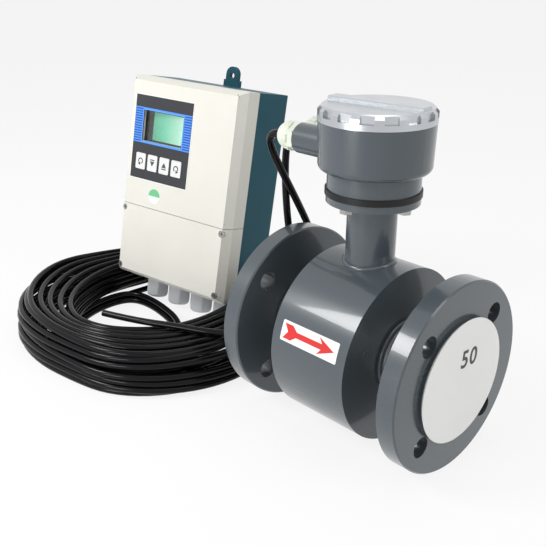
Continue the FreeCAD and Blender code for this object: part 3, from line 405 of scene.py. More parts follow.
def grain_group() -> bpy.types.NodeTree:
    """The shared effect of every plain finish: a fine grain with slower clouds of tone over it."""
    tree = bpy.data.node_groups.new("grain_and_clouds", "ShaderNodeTree")
    sockets = (("Coordinates", "Vector"), ("Colour", "Color"), ("Shade", "Color"), ("Grain Scale", "Float"),
               ("Cloud Scale", "Float"), ("Roughness", "Float"), ("Spread", "Float"))
    results = (("Colour", "Color"), ("Roughness", "Float"), ("Height", "Float"))
    for way, row in (("INPUT", sockets), ("OUTPUT", results)):
        for name, kind in row:
            tree.interface.new_socket(name=name, in_out=way, socket_type=f"NodeSocket{kind}")
    wire = Wiring(tree)
    given = wire.add("NodeGroupInput").outputs
    place = given["Coordinates"]
    grain, cloud = (
        wire.add("ShaderNodeTexNoise", {"Vector": place, "Scale": given[scale], "Detail": detail}).outputs["Fac"]
        for scale, detail in (("Grain Scale", 3.0), ("Cloud Scale", 2.0)))
    mask = wire.value("ADD", wire.value("MULTIPLY", grain, 0.45), wire.value("MULTIPLY", cloud, 0.55))
    lean = wire.value("MULTIPLY", wire.value("SUBTRACT", mask, 0.5), given["Spread"])
    wire.add("NodeGroupOutput", {"Colour": wire.blend(mask, given["Colour"], given["Shade"]),
                                 "Roughness": wire.value("ADD", given["Roughness"], lean), "Height": grain})
    return tree


@dataclass(frozen=True)
class Finish:
    """A plain finish: two near tones, a grain that stands up a little, and a gloss."""

    name: str
    colour: Colour
    shade: Colour
    roughness: float
    spread: float = 0.08
    grain: float = 1400.0
    cloud: float = 22.0
    relief: float = 0.02
    strength: float = 0.25
    metallic: float = 0.0
    coat: float = 0.0
    coat_roughness: float = 0.08
    specular: float = 0.5
    glass: float = 0.0

    def build(self, group: bpy.types.NodeTree) -> bpy.types.Material:
        """Makes the material.

        Args:
            group: the shared grain effect.

        Returns:
            The material.
        """
        material, wire, shader = blank(self.name)
        effect = wire.add("ShaderNodeGroup", node_tree=group)
        wire.fill(effect, {
            "Coordinates": wire.add("ShaderNodeTexCoord").outputs["Object"], "Colour": self.colour,
            "Shade": self.shade, "Grain Scale": self.grain, "Cloud Scale": self.cloud,
            "Roughness": self.roughness, "Spread": self.spread,
        })
        wire.fill(shader, {
            "Base Color": effect.outputs["Colour"], "Roughness": effect.outputs["Roughness"],
            "Normal": wire.bump(effect.outputs["Height"], self.strength, self.relief * MM),
            "Metallic": self.metallic, "Coat Weight": self.coat, "Coat Roughness": self.coat_roughness,
            "Specular IOR Level": self.specular, "Transmission Weight": self.glass,
        })
        return material


class Surface(Enum):
    """The finishes of the flow meter."""

    SENSOR_PAINT = Finish("sensor_paint", (0.070, 0.086, 0.099), (0.056, 0.070, 0.081), 0.26, 0.10, 420.0, 14.0,
                          0.05, 0.35, coat=0.5, coat_roughness=0.06, specular=0.4)
    BOX_PAINT = Finish("box_paint", (0.072, 0.088, 0.101), (0.056, 0.070, 0.082), 0.24, 0.08, 500.0, 16.0,
                       0.04, 0.30, coat=0.45, coat_roughness=0.07, specular=0.4)
    LINER = Finish("liner_white", (0.80, 0.80, 0.77), (0.72, 0.72, 0.69), 0.38)
    STEEL = Finish("plain_steel", (0.55, 0.56, 0.57), (0.42, 0.43, 0.44), 0.34, 0.2, 2200.0, 30.0, metallic=1.0)
    COPPER = Finish("winding_copper", (0.56, 0.26, 0.13), (0.42, 0.18, 0.09), 0.35, 0.1, 2600.0, metallic=1.0)
    IRON = Finish("dark_iron", (0.10, 0.10, 0.11), (0.07, 0.07, 0.075), 0.5, 0.15, metallic=0.8)
    RUBBER = Finish("black_rubber", (0.005, 0.005, 0.006), (0.010, 0.010, 0.011), 0.42, 0.12, 1600.0, 40.0,
                    0.03, specular=0.3)
    IVORY = Finish("ivory_plastic", (0.72, 0.76, 0.66), (0.63, 0.67, 0.57), 0.36, 0.1, 1200.0, 30.0, 0.01)
    SHEATH = Finish("cable_sheath", (0.0026, 0.0026, 0.0034), (0.0050, 0.0050, 0.0062), 0.17, 0.10, 700.0, 28.0,
                    0.03, 0.3, specular=0.16)
    COVER_PAINT = Finish("cover_paint", (0.75, 0.738, 0.675), (0.66, 0.648, 0.588), 0.42, 0.12, 1500.0, 30.0,
                         0.10, 0.45, coat=0.10, coat_roughness=0.3)
    CASE_PAINT = Finish("case_paint", (0.003, 0.078, 0.112), (0.002, 0.058, 0.086), 0.44, 0.12, 900.0, 24.0,
                        0.10, 0.45, specular=0.2)
    PANEL = Finish("panel_film", (0.022, 0.024, 0.028), (0.040, 0.043, 0.048), 0.30, 0.10, 2600.0, 14.0,
                   0.01, 0.2, specular=0.4)
    BAND = Finish("band_blue", (0.05, 0.23, 0.78), (0.08, 0.31, 0.88), 0.30, 0.06, 2600.0, 20.0, 0.01, 0.2)
    STRIPE = Finish("band_stripe", (0.006, 0.035, 0.22), (0.010, 0.05, 0.28), 0.32, 0.06, 2600.0)
    BEZEL = Finish("bezel_blue", (0.10, 0.30, 0.85), (0.14, 0.36, 0.90), 0.25, 0.05, 2600.0)
    GLASS = Finish("window_glass", (0.92, 1.0, 0.97), (0.88, 0.97, 0.94), 0.03, 0.02, 600.0, 30.0, 0.001, 0.05,
                   specular=0.2, glass=1.0)
    DISPLAY_FRAME = Finish("display_frame", (0.012, 0.013, 0.014), (0.02, 0.021, 0.022), 0.45)
    KEY = Finish("key_plastic", (0.76, 0.76, 0.76), (0.70, 0.70, 0.70), 0.36, 0.08, 1800.0, 40.0, 0.02)
    MARK = Finish("key_mark", (0.035, 0.040, 0.045), (0.05, 0.055, 0.06), 0.45)
    BOARD = Finish("board_green", (0.012, 0.10, 0.035), (0.008, 0.075, 0.026), 0.35)
    MODULE = Finish("black_module", (0.018, 0.018, 0.020), (0.03, 0.03, 0.032), 0.5)
    PALE_PLASTIC = Finish("terminal_plastic", (0.62, 0.62, 0.54), (0.54, 0.54, 0.47), 0.45)
    ZINC = Finish("zinc_screws", (0.46, 0.46, 0.44), (0.33, 0.33, 0.31), 0.28, 0.2, 2400.0, 60.0, metallic=1.0)
    WHITE_PLASTIC = Finish("white_plastic", (0.86, 0.88, 0.90), (0.78, 0.80, 0.82), 0.36, 0.1, 1400.0, 30.0,
                           0.02)
    SEAL = Finish("seal_grey", (0.36, 0.47, 0.46), (0.28, 0.38, 0.37), 0.6)
    # painted shade: near-black for the shade inside the cover screws' slots
    PAINTED_RECESS_SHADE = Finish("painted_recess_shade", (0.010, 0.010, 0.011), (0.02, 0.02, 0.02), 0.6)
    LABEL = Finish("label_white", (0.86, 0.86, 0.85), (0.80, 0.80, 0.79), 0.30, 0.06, 900.0, 18.0, 0.01, 0.2,
                   coat=0.2)
    ARROW_RED = Finish("arrow_red", (0.66, 0.022, 0.020), (0.56, 0.016, 0.015), 0.32, 0.06, 900.0)
    PRINT_BLACK = Finish("print_black", (0.018, 0.018, 0.020), (0.03, 0.03, 0.033), 0.35)
    TAG_GREEN = Finish("tag_green", (0.16, 0.56, 0.27), (0.12, 0.48, 0.22), 0.35)


CAD_FINISHES: dict[Surface, tuple[str, ...]] = {
    Surface.STEEL: ("measuring_tube", "electrode_left", "electrode_right"),
    Surface.LINER: ("liner", "electrode_bushes"),
    Surface.SENSOR_PAINT: ("inlet_flange", "outlet_flange", "coil_housing", "housing_end_inlet",
                           "housing_end_outlet", "neck", "neck_flange"),
    Surface.BOX_PAINT: ("junction_box",),
    Surface.COPPER: ("field_coil_top", "field_coil_bottom"),
    Surface.IRON: ("pole_shoe_top", "pole_shoe_bottom", "field_yoke"),
    Surface.ZINC: ("neck_bolts", "terminal_screws", "cover_screws"),
    Surface.RUBBER: ("box_gasket", "lid_seal", "signal_gland_seal", "excitation_gland_seal", "gland_plugs"),
    Surface.MODULE: ("terminal_block", "power_module"),
    Surface.IVORY: ("signal_gland_body", "signal_gland_nut", "excitation_gland_body", "excitation_gland_nut"),
    Surface.CASE_PAINT: ("rear_housing",),
    Surface.COVER_PAINT: ("front_cover", "terminal_cover"),
    Surface.SEAL: ("cover_seal",),
    Surface.PANEL: ("keypad_panel",),
    Surface.GLASS: ("display_window",),
    Surface.DISPLAY_FRAME: ("display_module",),
    Surface.KEY: ("key_menu", "key_down", "key_up", "key_enter"),
    Surface.BOARD: ("key_board", "main_board"),
    Surface.PALE_PLASTIC: ("terminal_strip",),
    Surface.WHITE_PLASTIC: tuple(f"gland_{part}_{k}" for part in ("body", "cap") for k in range(1, 5)),
}


@dataclass(frozen=True)
class LidFinish:
    """Bright aluminium turned on a lathe: fine rings about the lid's own axis."""

    bright: Colour = (0.60, 0.62, 0.64)
    dull: Colour = (0.44, 0.46, 0.49)
    rings: float = 900.0
    waver: float = 1.2
    cloud: float = 34.0
    roughness: float = 0.18
    spread: float = 0.16

    def build(self) -> bpy.types.Material:
        """Makes the material."""
        material, wire, shader = blank("lid_turned")
        place = wire.add("ShaderNodeTexCoord").outputs["Object"]
        sources = {"Vector": place, "Scale": self.rings, "Distortion": self.waver}
        rings = wire.add("ShaderNodeTexWave", sources, wave_type="RINGS", rings_direction="Z")
        cloud = wire.add("ShaderNodeTexNoise", {"Vector": place, "Scale": self.cloud}).outputs["Fac"]
        wire.fill(shader, {
            "Base Color": wire.blend(cloud, self.bright, self.dull),
            "Roughness": wire.value("ADD", self.roughness, wire.value("MULTIPLY", cloud, self.spread)),
            "Normal": wire.bump(rings.outputs["Fac"], 0.12, 0.02 * MM), "Metallic": 1.0,
        })
        return material


@dataclass(frozen=True)
class ScreenFinish:
    """The display: darker green at one side as painted shade from the recess wall, fading to paler green as
    painted light at the other, and given painted light of its own as emission.
    """

    left: float = -54.0
    right: float = 4.0
    # painted shade: the dark green at the pane's left, where the recess wall shades it
    painted_shade_deep: Colour = (0.012, 0.24, 0.12)
    green: Colour = (0.09, 0.50, 0.32)
    # painted light: the paler green at the pane's right
    painted_light_pale: Colour = (0.62, 0.82, 0.68)
    haze: Colour = (0.75, 0.95, 0.88)
    # painted light: how strongly the pane emits light, though it is no lamp
    painted_glow: float = 0.28

    def build(self) -> bpy.types.Material:
        """Makes the material, which reads the pane's own map in millimetres."""
        material, wire, shader = blank("screen_green")
        place = wire.add("ShaderNodeUVMap").outputs["UV"]
        along = wire.add("ShaderNodeSeparateXYZ", {"Vector": place}).outputs["X"]
        share = wire.value("DIVIDE", wire.value("SUBTRACT", along, self.left), self.right - self.left)
        # the fade from dark to paler green is painted shade and painted light over the display's own green
        painted_fade_ramp = wire.add("ShaderNodeValToRGB", {"Fac": share})
        stops = painted_fade_ramp.color_ramp.elements
        stops[0].color, stops[1].color = (*self.painted_shade_deep, 1.0), (*self.painted_light_pale, 1.0)
        stops.new(0.4).color = (*self.green, 1.0)
        cloud = wire.add("ShaderNodeTexNoise", {"Vector": place, "Scale": 0.4}).outputs["Fac"]
        tone = painted_fade_ramp.outputs["Color"]
        # the faded colour is also emitted, so the pane shines with painted light
        wire.fill(shader, {
            "Base Color": wire.blend(wire.value("MULTIPLY", cloud, 0.25), tone, self.haze), "Roughness": 0.3,
            "Emission Color": tone, "Emission Strength": self.painted_glow,
        })
        return material


class Palette:
    """Every material, made once and handed out by its name."""

    def __init__(self) -> None:
        """Makes the shared effect and all the materials."""
        group = grain_group()
        self.made = {surface: surface.value.build(group) for surface in Surface}
        self.lid = LidFinish().build()
        self.screen = ScreenFinish().build()

    def __getitem__(self, surface: Surface) -> bpy.types.Material:
        """The material of a surface."""
        return self.made[surface]

    def dress_solids(self) -> None:
        """Gives each solid of the part its material."""
        pairs = [(name, self[surface]) for surface, names in CAD_FINISHES.items() for name in names]
        for name, material in pairs + [("lid", self.lid)]:
            obj = bpy.data.objects[name]
            if not obj.material_slots:
                obj.data.materials.append(material)
            for holder in obj.material_slots:
                holder.material = material
            LOG.info("solid %s in %s", name, material.name)


# ---- cables ----

def eased(share: float) -> float:
    """A share from 0 to 1 that starts and stops softly."""
    return share * share * (3 - 2 * share)


@dataclass(frozen=True)
class Turn:
    """Where one turn of cable lies in the heap: sizes in millimetres, angles in degrees.

    The share runs from 0 at the heap's outside to 1 at its inside. The flare moves the turn outwards
    and the lift raises it, both most at one angle. A turn that cuts across in front of the glands
    moves its whole cut stretch by the flare.
    """

    share: float
    height: float
    flare: float = 0.0
    flare_at: float = 262.0
    lift: float = 0.0
    across: bool = False


@dataclass(frozen=True)
class Coil:
    """The oval heap of turns on the floor, round the converter's foot."""

    x: float = -287.0
    y: float = -5.0
    heading: float = -45.0
    major: float = 174.5
    minor: float = 151.5
    step: int = 20
    cut_steps: int = 7
    front_steps: int = 3
    pivot: Flat = (-250.0, -80.0)
    flare_reach: float = 62.0
    shift_from: float = 0.55
    shift_over: float = 0.40
    outer: tuple[Flat, ...] = (
        (10, 3.5), (31, 5), (60, 11), (90, 6), (120, 4), (150, 4), (170, 11), (190, 24), (205, 38), (223, 42),
        (240, 20), (252, 6), (262, 0), (283, -4), (294, -2), (307, 6), (323, 12), (335, 9), (345, 4), (355, 2),
    )
    inner: tuple[Flat, ...] = (
        (17, 67), (28, 69), (41, 69), (55, 67), (75, 61), (100, 53), (150, 52), (190, 64), (215, 76), (238, 69),
        (252, 61), (266, 54), (275, 49), (290, 44), (305, 41), (317, 42), (326, 47), (339, 56), (354, 62),
    )

    def read(self, table: Sequence[Flat], angle: float) -> float:
        """The smooth value of a table of (angle, inset) pairs at an angle, round and round."""
        ring = [(table[-1][0] - 360, table[-1][1]), *table, (table[0][0] + 360, table[0][1])]
        turned = angle % 360
        for (low, first), (high, last) in zip(ring, ring[1:]):
            if low <= turned <= high:
                return first + (last - first) * eased((turned - low) / (high - low))
        return ring[0][1]

    def at(self, angle: float, inset: float, height: float) -> Point:
        """A point of the oval.

        Args:
            angle: degrees round from the long axis.
            inset: how far inside the outermost turn.
            height: above the floor.

        Returns:
            The point in the part's frame.
        """
        along = (self.major - inset) * math.cos(math.radians(angle))
        aside = (self.minor - inset) * math.sin(math.radians(angle))
        cosine, sine = math.cos(math.radians(self.heading)), math.sin(math.radians(self.heading))
        return (self.x + along * cosine - aside * sine, self.y + along * sine + aside * cosine,
                FLOOR + height)

    def lie(self, angle: float, turn: Turn, index: int) -> tuple[float, float]:
        """The inset and height of a turn at an angle, with its own slow waver and its flare."""
        off = abs((angle - turn.flare_at + 180.0) % 360.0 - 180.0)
        near = math.cos(math.pi / 2 * off / self.flare_reach) ** 2 if off < self.flare_reach else 0.0
        low, high = self.read(self.outer, angle), self.read(self.inner, angle)
        round_twice, round_thrice = math.radians(2 * angle), math.radians(3 * angle)
        waver = math.sin(round_twice + 1.7 * index) + 0.8 * math.sin(round_thrice + index)
        return low + (high - low) * turn.share + waver - turn.flare * near, turn.height + turn.lift * near

    def wind(self, turns: Sequence[Turn], start: float, way: int, across: Sequence[Flat]) -> list[Point]:
        """The points of a run of turns.

        Args:
            turns: the turns, in the order in which they are wound.
            start: the angle at which the first begins.
            way: 1 for turns to the left, -1 for turns to the right.
            across: the points of a turn that cuts across in front of the glands.

        Returns:
            The points, from the first turn to the last.
        """
        points: list[Point] = []
        steps = 360 // self.step
        for index, turn in enumerate(turns):
            after = turns[min(index + 1, len(turns) - 1)]
            first = self.front_steps if index and turns[index - 1].across else 0
            if turn.across:
                points += self.cut(turn, index, start, first, across)
                continue
            for k in range(first, steps):
                shift = eased(min(1.0, max(0.0, (k / steps - self.shift_from) / self.shift_over)))
                angle = start + way * 360.0 * k / steps
                here, there = self.lie(angle, turn, index), self.lie(angle, after, index + 1)
                inset, height = (own + (next_own - own) * shift for own, next_own in zip(here, there))
                points.append(self.at(angle, inset, height))
        return points

    def cut(self, turn: Turn, index: int, start: float, first: int, across: Sequence[Flat]) -> list[Point]:
        """One turn that lies with the others at the front and cuts across in front of the glands.

        Args:
            turn: the turn.
            index: its place in the run.
            start: the angle at which the run begins.
            first: the number of steps that the turn before has already gone round the front.
            across: the points of the stretch that cuts across.

        Returns:
            Its points.
        """
        angles = [start - k * self.step for k in range(first, self.cut_steps)]
        points = [self.at(angle, *self.lie(angle, turn, index)) for angle in angles]
        middle_x, middle_y = self.pivot
        for x, y in across:
            grow = 1.0 + turn.flare / math.hypot(x - middle_x, y - middle_y)
            points.append((middle_x + (x - middle_x) * grow, middle_y + (y - middle_y) * grow,
                           FLOOR + turn.height))
        return points


class Cables:
    """The two cables: from the sensor's glands to the heap, round in it, and one bare end on top."""

    radius = 3.5
    exit_x, exit_y, exit_level = -88, 16, 170.5
    signal_start, excitation_start = 106, 50
    signal_length, excitation_length = 10.6, 10.9
    signal_route = [
        (-88, -16, 170.5), (-99.5, -15.4, 170.2), (-109, -12.8, 164.2), (-112.6, -8, 153.5), (-111, -1, 138),
        (-107.8, 9, 118), (-107, 22, 96), (-109, 40, 68), (-114, 60, 33), (-121, 77, -4), (-128, 91, -38),
        (-141, 101, -60), (-161, 103, -68), (-180, 96, -66),
    ]
    excitation_route = [
        (-88, 16, 170.5), (-99.5, 16.2, 170.3), (-109.3, 15.8, 164.7), (-115, 15, 154), (-116.8, 14.4, 137),
        (-116.6, 14.8, 110), (-115.4, 17, 78), (-113.6, 22.5, 40), (-113.8, 31, 2), (-119, 43, -32),
        (-131, 56, -55), (-150, 64, -63),
    ]
    tail_route = [
        (-137, 30, -44), (-125, 12, -35), (-121, -12, -30), (-130, -36, -29.5), (-151, -55, -30),
        (-181, -70, -29), (-222, -92, -30), (-259, -106, -29.5),
    ]
    turn_back = [(-168, 67, -69), (-184, 60, -75), (-194, 45, -78.5), (-197, 25, -79)]
    across = [
        (-352, -92), (-365, -68), (-372, -44), (-373, -20), (-367, -3), (-352, 4.5), (-329, 6), (-303, 3.5),
        (-276, -1.5), (-252, -12), (-230, -25), (-207, -37), (-186, -45), (-170, -56), (-166, -72), (-171, -90),
    ]
    signal_turns = [
        Turn(0.0, 23.9, 7, 268), Turn(0.0, 17.1, 9, 278), Turn(0.0, 10.3, 10, 284), Turn(0.0, 3.5, 7, 284),
        Turn(0.20, 3.5, 8, 282), Turn(0.20, 10.3, 7, 278), Turn(0.42, 10.0, 8, 270), Turn(0.30, 24.0, 6, 262),
        Turn(0.0, 30.7, 9, 266), Turn(0.02, 37.5, 10, 262), Turn(0.10, 44.3, 9, 256),
    ]
    excitation_turns = [
        Turn(1.0, 3.5), Turn(0.62, 3.5, across=True), Turn(0.48, 3.5, -7.3, across=True),
        Turn(0.55, 10.2, -3.6, across=True), Turn(0.58, 10.0), Turn(0.80, 11.0), Turn(1.0, 17.1),
        Turn(0.98, 23.9), Turn(1.0, 30.7),
        Turn(0.96, 37.4), Turn(0.99, 44.1), Turn(0.80, 45.0, 3, 262, 1), Turn(0.61, 45.6, 6, 262, 2),
        Turn(0.42, 45.8, 10, 260, 3), Turn(0.25, 46.0, 15, 256, 5),
    ]

    def __init__(self, coil: Coil, palette: Palette) -> None:
        """Takes the coil that the turns lie in and the materials."""
        self.coil, self.palette = coil, palette

    def cord(self, name: str, points: Sequence[Point]) -> bpy.types.Object:
        """A cable along one smooth line.

        Args:
            name: the piece's name.
            points: its line's control points, in millimetres.

        Returns:
            The curve object.
        """
        data = bpy.data.curves.new(name, "CURVE")
        data.dimensions = "3D"
        line = data.splines.new("NURBS")
        line.points.add(len(points) - 1)
        for control, point in zip(line.points, metres(points)):
            control.co = (*point, 1.0)
        line.order_u = 3
        line.use_endpoint_u = True
        line.resolution_u = 5
        data.bevel_depth = self.radius * MM
        data.bevel_resolution = 3
        data.use_fill_caps = True
        data.materials.append(self.palette[Surface.SHEATH])
        obj = show(bpy.data.objects.new(name, data))
        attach(obj, "root")
        LOG.info("cord %s, %d points", name, len(points))
        return obj

    def build(self) -> None:
        signal = self.cord("signal_cord", self.signal_route + self.coil.wind(
            self.signal_turns, self.signal_start, 1, self.across))
        excitation = self.cord("excitation_cord", self.excitation_route + self.turn_back + self.coil.wind(
            self.excitation_turns, self.excitation_start, -1, self.across) + self.tail_route)
        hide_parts("signal_cable", "cable_coil")
        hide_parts("excitation_cable", "cable_tail")


# ---- studio ----

@dataclass(frozen=True)
class Viewpoint:
    """The camera: angles in degrees, place in millimetres."""

    yaw: float = 46.09
    pitch: float = 22.48
    roll: float = 0.23
    place: Point = (387.3, -486.1, 317.4)
    lens: float = 51.69

    def build(self) -> None:
        """Makes the camera and sets it."""
        data = bpy.data.cameras.new("camera")
        data.lens, data.sensor_width, data.clip_start = self.lens, 36.0, 0.01
        camera = show(bpy.data.objects.new("camera", data))
        turned = rotation(self.yaw, "Z") @ rotation(90 - self.pitch, "X") @ rotation(self.roll, "Z")
        camera.matrix_world = Matrix.Translation(Vector(self.place) * MM) @ turned
        bpy.context.scene.camera = camera


@dataclass(frozen=True)
class Lamp:
    """A soft rectangular lamp: place and aim in metres."""

    name: str
    place: Point
    aim: Point
    size: Flat
    power: float

    def build(self) -> None:
        """Makes the lamp."""
        data = bpy.data.lights.new(self.name, "AREA")
        data.shape, data.size, data.size_y, data.energy = "RECTANGLE", *self.size, self.power
        lamp = show(bpy.data.objects.new(self.name, data))
        gaze = Vector(self.aim) - Vector(self.place)
        aimed = gaze.to_track_quat("-Z", "Y").to_matrix().to_4x4()
        lamp.matrix_world = Matrix.Translation(self.place) @ aimed


class Studio:
    """A plain white floor, a white surround and soft lamps. Sizes are in millimetres."""

    floor_half = 14000
    floor_gap = 0.15
    floor_glow = 0.84
    surround_light = 0.42
    lamps = (
        Lamp("key_lamp", (-0.75, -1.05, 1.0), (-0.1, 0.0, 0.05), (0.5, 0.5), 12.5),
        Lamp("top_lamp", (0.0, 0.1, 1.5), (-0.1, 0.0, 0.0), (1.3, 0.9), 4.5),
        Lamp("side_lamp", (1.2, 0.35, 0.75), (0.0, 0.0, 0.05), (0.5, 1.1), 5.0),
        Lamp("low_lamp", (-0.1, -0.95, 0.12), (-0.27, 0.03, -0.06), (0.35, 0.25), 3.0),
    )

    def build(self) -> None:
        """Makes the floor, the world and the lamps."""
        for lamp in self.lamps:
            lamp.build()
        self.world()
        self.floor()
        bpy.context.scene.view_settings.view_transform = "Standard"

    def world(self) -> None:
        """A surround that is white to look at and in reflections, and gives a plain even light."""
        world = bpy.data.worlds.new("surround")
        bpy.context.scene.world = world
        world.use_nodes = True
        wire = Wiring(world.node_tree)
        strength = wire.value("ADD", wire.value("MULTIPLY", wire.seen(), 1.0 - self.surround_light),
                              self.surround_light)
        wire.fill(world.node_tree.nodes["Background"], {"Color": (1.0, 1.0, 1.0), "Strength": strength})

    def floor(self) -> None:
        """A wide white floor that keeps the shadow under the part."""
        bm = bmesh.new()
        bmesh.ops.create_grid(bm, x_segments=2, y_segments=2, size=self.floor_half)
        mesh = to_mesh(bm, "floor", Matrix.Translation((0, 0, FLOOR - self.floor_gap)))
        material, wire, shader = blank("floor_white")
        material.node_tree.nodes.remove(shader)
        matte = wire.add("ShaderNodeBsdfDiffuse", {"Color": (0.9, 0.9, 0.9)})
        mixed = wire.add("ShaderNodeMixShader", {"Fac": wire.value("MULTIPLY", wire.seen(), self.floor_glow)})
        wire.feed(mixed.inputs[1], matte.outputs[0])
        wire.feed(mixed.inputs[2], wire.add("ShaderNodeEmission").outputs[0])
        wire.fill(material.node_tree.nodes["Material Output"], {"Surface": mixed.outputs[0]})
        mesh.materials.append(material)
        show(bpy.data.objects.new("floor", mesh))


# ---- sensor ----

@dataclass(frozen=True)
class Sensor:
    """What dresses the sensor: covers on its faces, an arrow, beads of weld and plain digits."""

    cover_radius: float = 53.4
    face: float = 100.0
    housing: float = 76.5
    neck: float = 21.0
    neck_top: float = 127.0
    tube: float = 30.6
    plate_weld: float = 41.0
    flange_weld: float = 77.2
    label_half: float = 31.0
    label_low: float = 168.6
    label_high: float = 155.4
    digits: str = "50"
    digit_size: float = 21.0
    digit_place: Flat = (4.0, 13.0)
    digit_turn: float = -4.0
    gland_side: float = 16.0
    gland_level: float = 170.5
    rib_back: float = 3.4
    rib_radius: float = 12.05
    rib_bar: Point = (1.0, 1.3, 5.6)

    def covers(self, palette: Palette) -> None:
        """A thin round cover stuck over each end, a little crowned and with a soft rim."""
        radius = self.cover_radius
        profile = [(0, 1.1), (radius * 0.5, 1.05), (radius - 6, 0.85), (radius - 1.2, 0.55),
                   (radius - 0.3, 0.35), (radius, 0.1), (radius - 0.3, -0.1), (radius - 1.5, -0.15), (0, -0.15)]
        for side, name in ((1, "outlet_cover"), (-1, "inlet_cover")):
            place = Matrix.Translation((side * (self.face + 0.2), 0, 0)) @ rotation(side * 90, "Y")
            piece(name, to_mesh(lathe(profile), name, place, True), palette[Surface.LABEL])

    def printed(self, palette: Palette) -> None:
        """The size digits on the outlet's cover."""
        text = bpy.data.curves.new("size_digits", "FONT")
        text.body, text.size, text.extrude, text.align_x = self.digits, self.digit_size, 0.08, "CENTER"
        text.space_character, text.offset = 1.15, 0.4
        holder = show(bpy.data.objects.new("size_digits_holder", text))
        facing = Matrix(((0, 0, 1, 0), (1, 0, 0, 0), (0, 1, 0, 0), (0, 0, 0, 1)))
        place = Matrix.Translation((self.face + 1.3, *self.digit_place)) @ rotation(self.digit_turn, "X")
        piece("size_digits", frozen(holder, "size_digits", place @ facing), palette[Surface.PRINT_BLACK])

    def wrapped(self, name: str, outline: Sequence[Flat], low: float, high: float) -> bpy.types.Mesh:
        """A flat shape bent round the housing.

        Args:
            name: the mesh's name.
            outline: its corners, along the pipe and up the label, in millimetres.
            low: how far its back stands from the housing.
            high: how far its face stands from the housing.

        Returns:
            The mesh at its place.
        """
        bm = bmesh.new()
        slab(bm, outline, low, high)
        bm.normal_update()
        bmesh.ops.triangulate(bm, faces=bm.faces)
        for _ in range(2):
            long_edges = [edge for edge in bm.edges if edge.calc_length() > 1.5]
            bmesh.ops.subdivide_edges(bm, edges=long_edges, cuts=1)
            bmesh.ops.triangulate(bm, faces=bm.faces)
        middle = math.radians((self.label_low + self.label_high) / 2)
        for vert in bm.verts:
            angle = middle - vert.co.y / self.housing
            reach = self.housing + vert.co.z
            vert.co = Vector((vert.co.x, reach * math.cos(angle), reach * math.sin(angle)))
        return to_mesh(bm, name, Matrix.Identity(4))

    def arrow(self, palette: Palette) -> None:
        """The white label with its red feathered arrow, pointing down the flow."""
        half = self.label_half
        rise = self.housing * math.radians(self.label_low - self.label_high) / 2
        label = self.wrapped("flow_label", round_corners(-half, -rise, half, rise, 1.2), 0.02, 0.18)
        piece("flow_label", label, palette[Surface.LABEL])
        outline = [(-28.5, 6.4), (-19.5, 6.4), (-14, 2.4), (14, 2.4), (10, 7.2), (27.5, 0), (10, -7.2),
                   (14, -2.4), (-14, -2.4), (-19.5, -6.4), (-28.5, -6.4), (-23.5, 0)]
        piece("flow_arrow", self.wrapped("flow_arrow", outline[::-1], 0.16, 0.27), palette[Surface.ARROW_RED])

    def welds(self, palette: Palette, bead: bpy.types.GeometryNodeTree) -> None:
        """Painted beads where the neck meets the housing and where the end plates meet the tube."""
        paint = palette[Surface.SENSOR_PAINT]
        neck, hoop = circle(self.neck + 0.2, 96), circle(self.tube, 96)
        beads = [("neck_weld", [(x, y, math.sqrt(self.housing ** 2 - y * y)) for x, y in neck], 2.3),
                 ("neck_top_weld", [(x, y, self.neck_top) for x, y in circle(self.neck + 0.2)], 1.6)]
        for name, place, radius in (("weld", self.plate_weld, 2.6), ("flange_weld", self.flange_weld, 3.0)):
            for side, way in (("inlet", -1), ("outlet", 1)):
                beads.append((f"{side}_{name}", [(way * place, x, y) for x, y in hoop], radius))
        for name, path, radius in beads:
            mesh = grown(bead, name, Matrix.Identity(4), closed_path(path), Radius=radius, Sides=16,
                         Material=paint)
            piece(name, mesh, paint)

    def gland_ribs(self, palette: Palette, ring: bpy.types.GeometryNodeTree) -> None:
        """Fine grip ribs round the nuts of the two cable glands."""
        ivory = palette[Surface.IVORY]
        for name, side in (("signal_ribs", -1), ("excitation_ribs", 1)):
            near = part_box(name.replace("ribs", "gland_nut"))[1][0] / MM
            spot = (near - self.rib_back, side * self.gland_side, self.gland_level)
            mesh = grown(ring, name, Matrix.Translation(spot) @ rotation(90, "Y"), Count=18,
                         Radius=self.rib_radius, Bar=self.rib_bar, Material=ivory)
            piece(name, mesh, ivory)

    def build(self, palette: Palette, trees: dict[str, bpy.types.GeometryNodeTree]) -> None:
        """Makes every piece of the sensor's dress."""
        self.covers(palette)
        self.printed(palette)
        self.arrow(palette)
        self.welds(palette, trees["bead"])
        self.gland_ribs(palette, trees["ring"])


# ---- converter ----

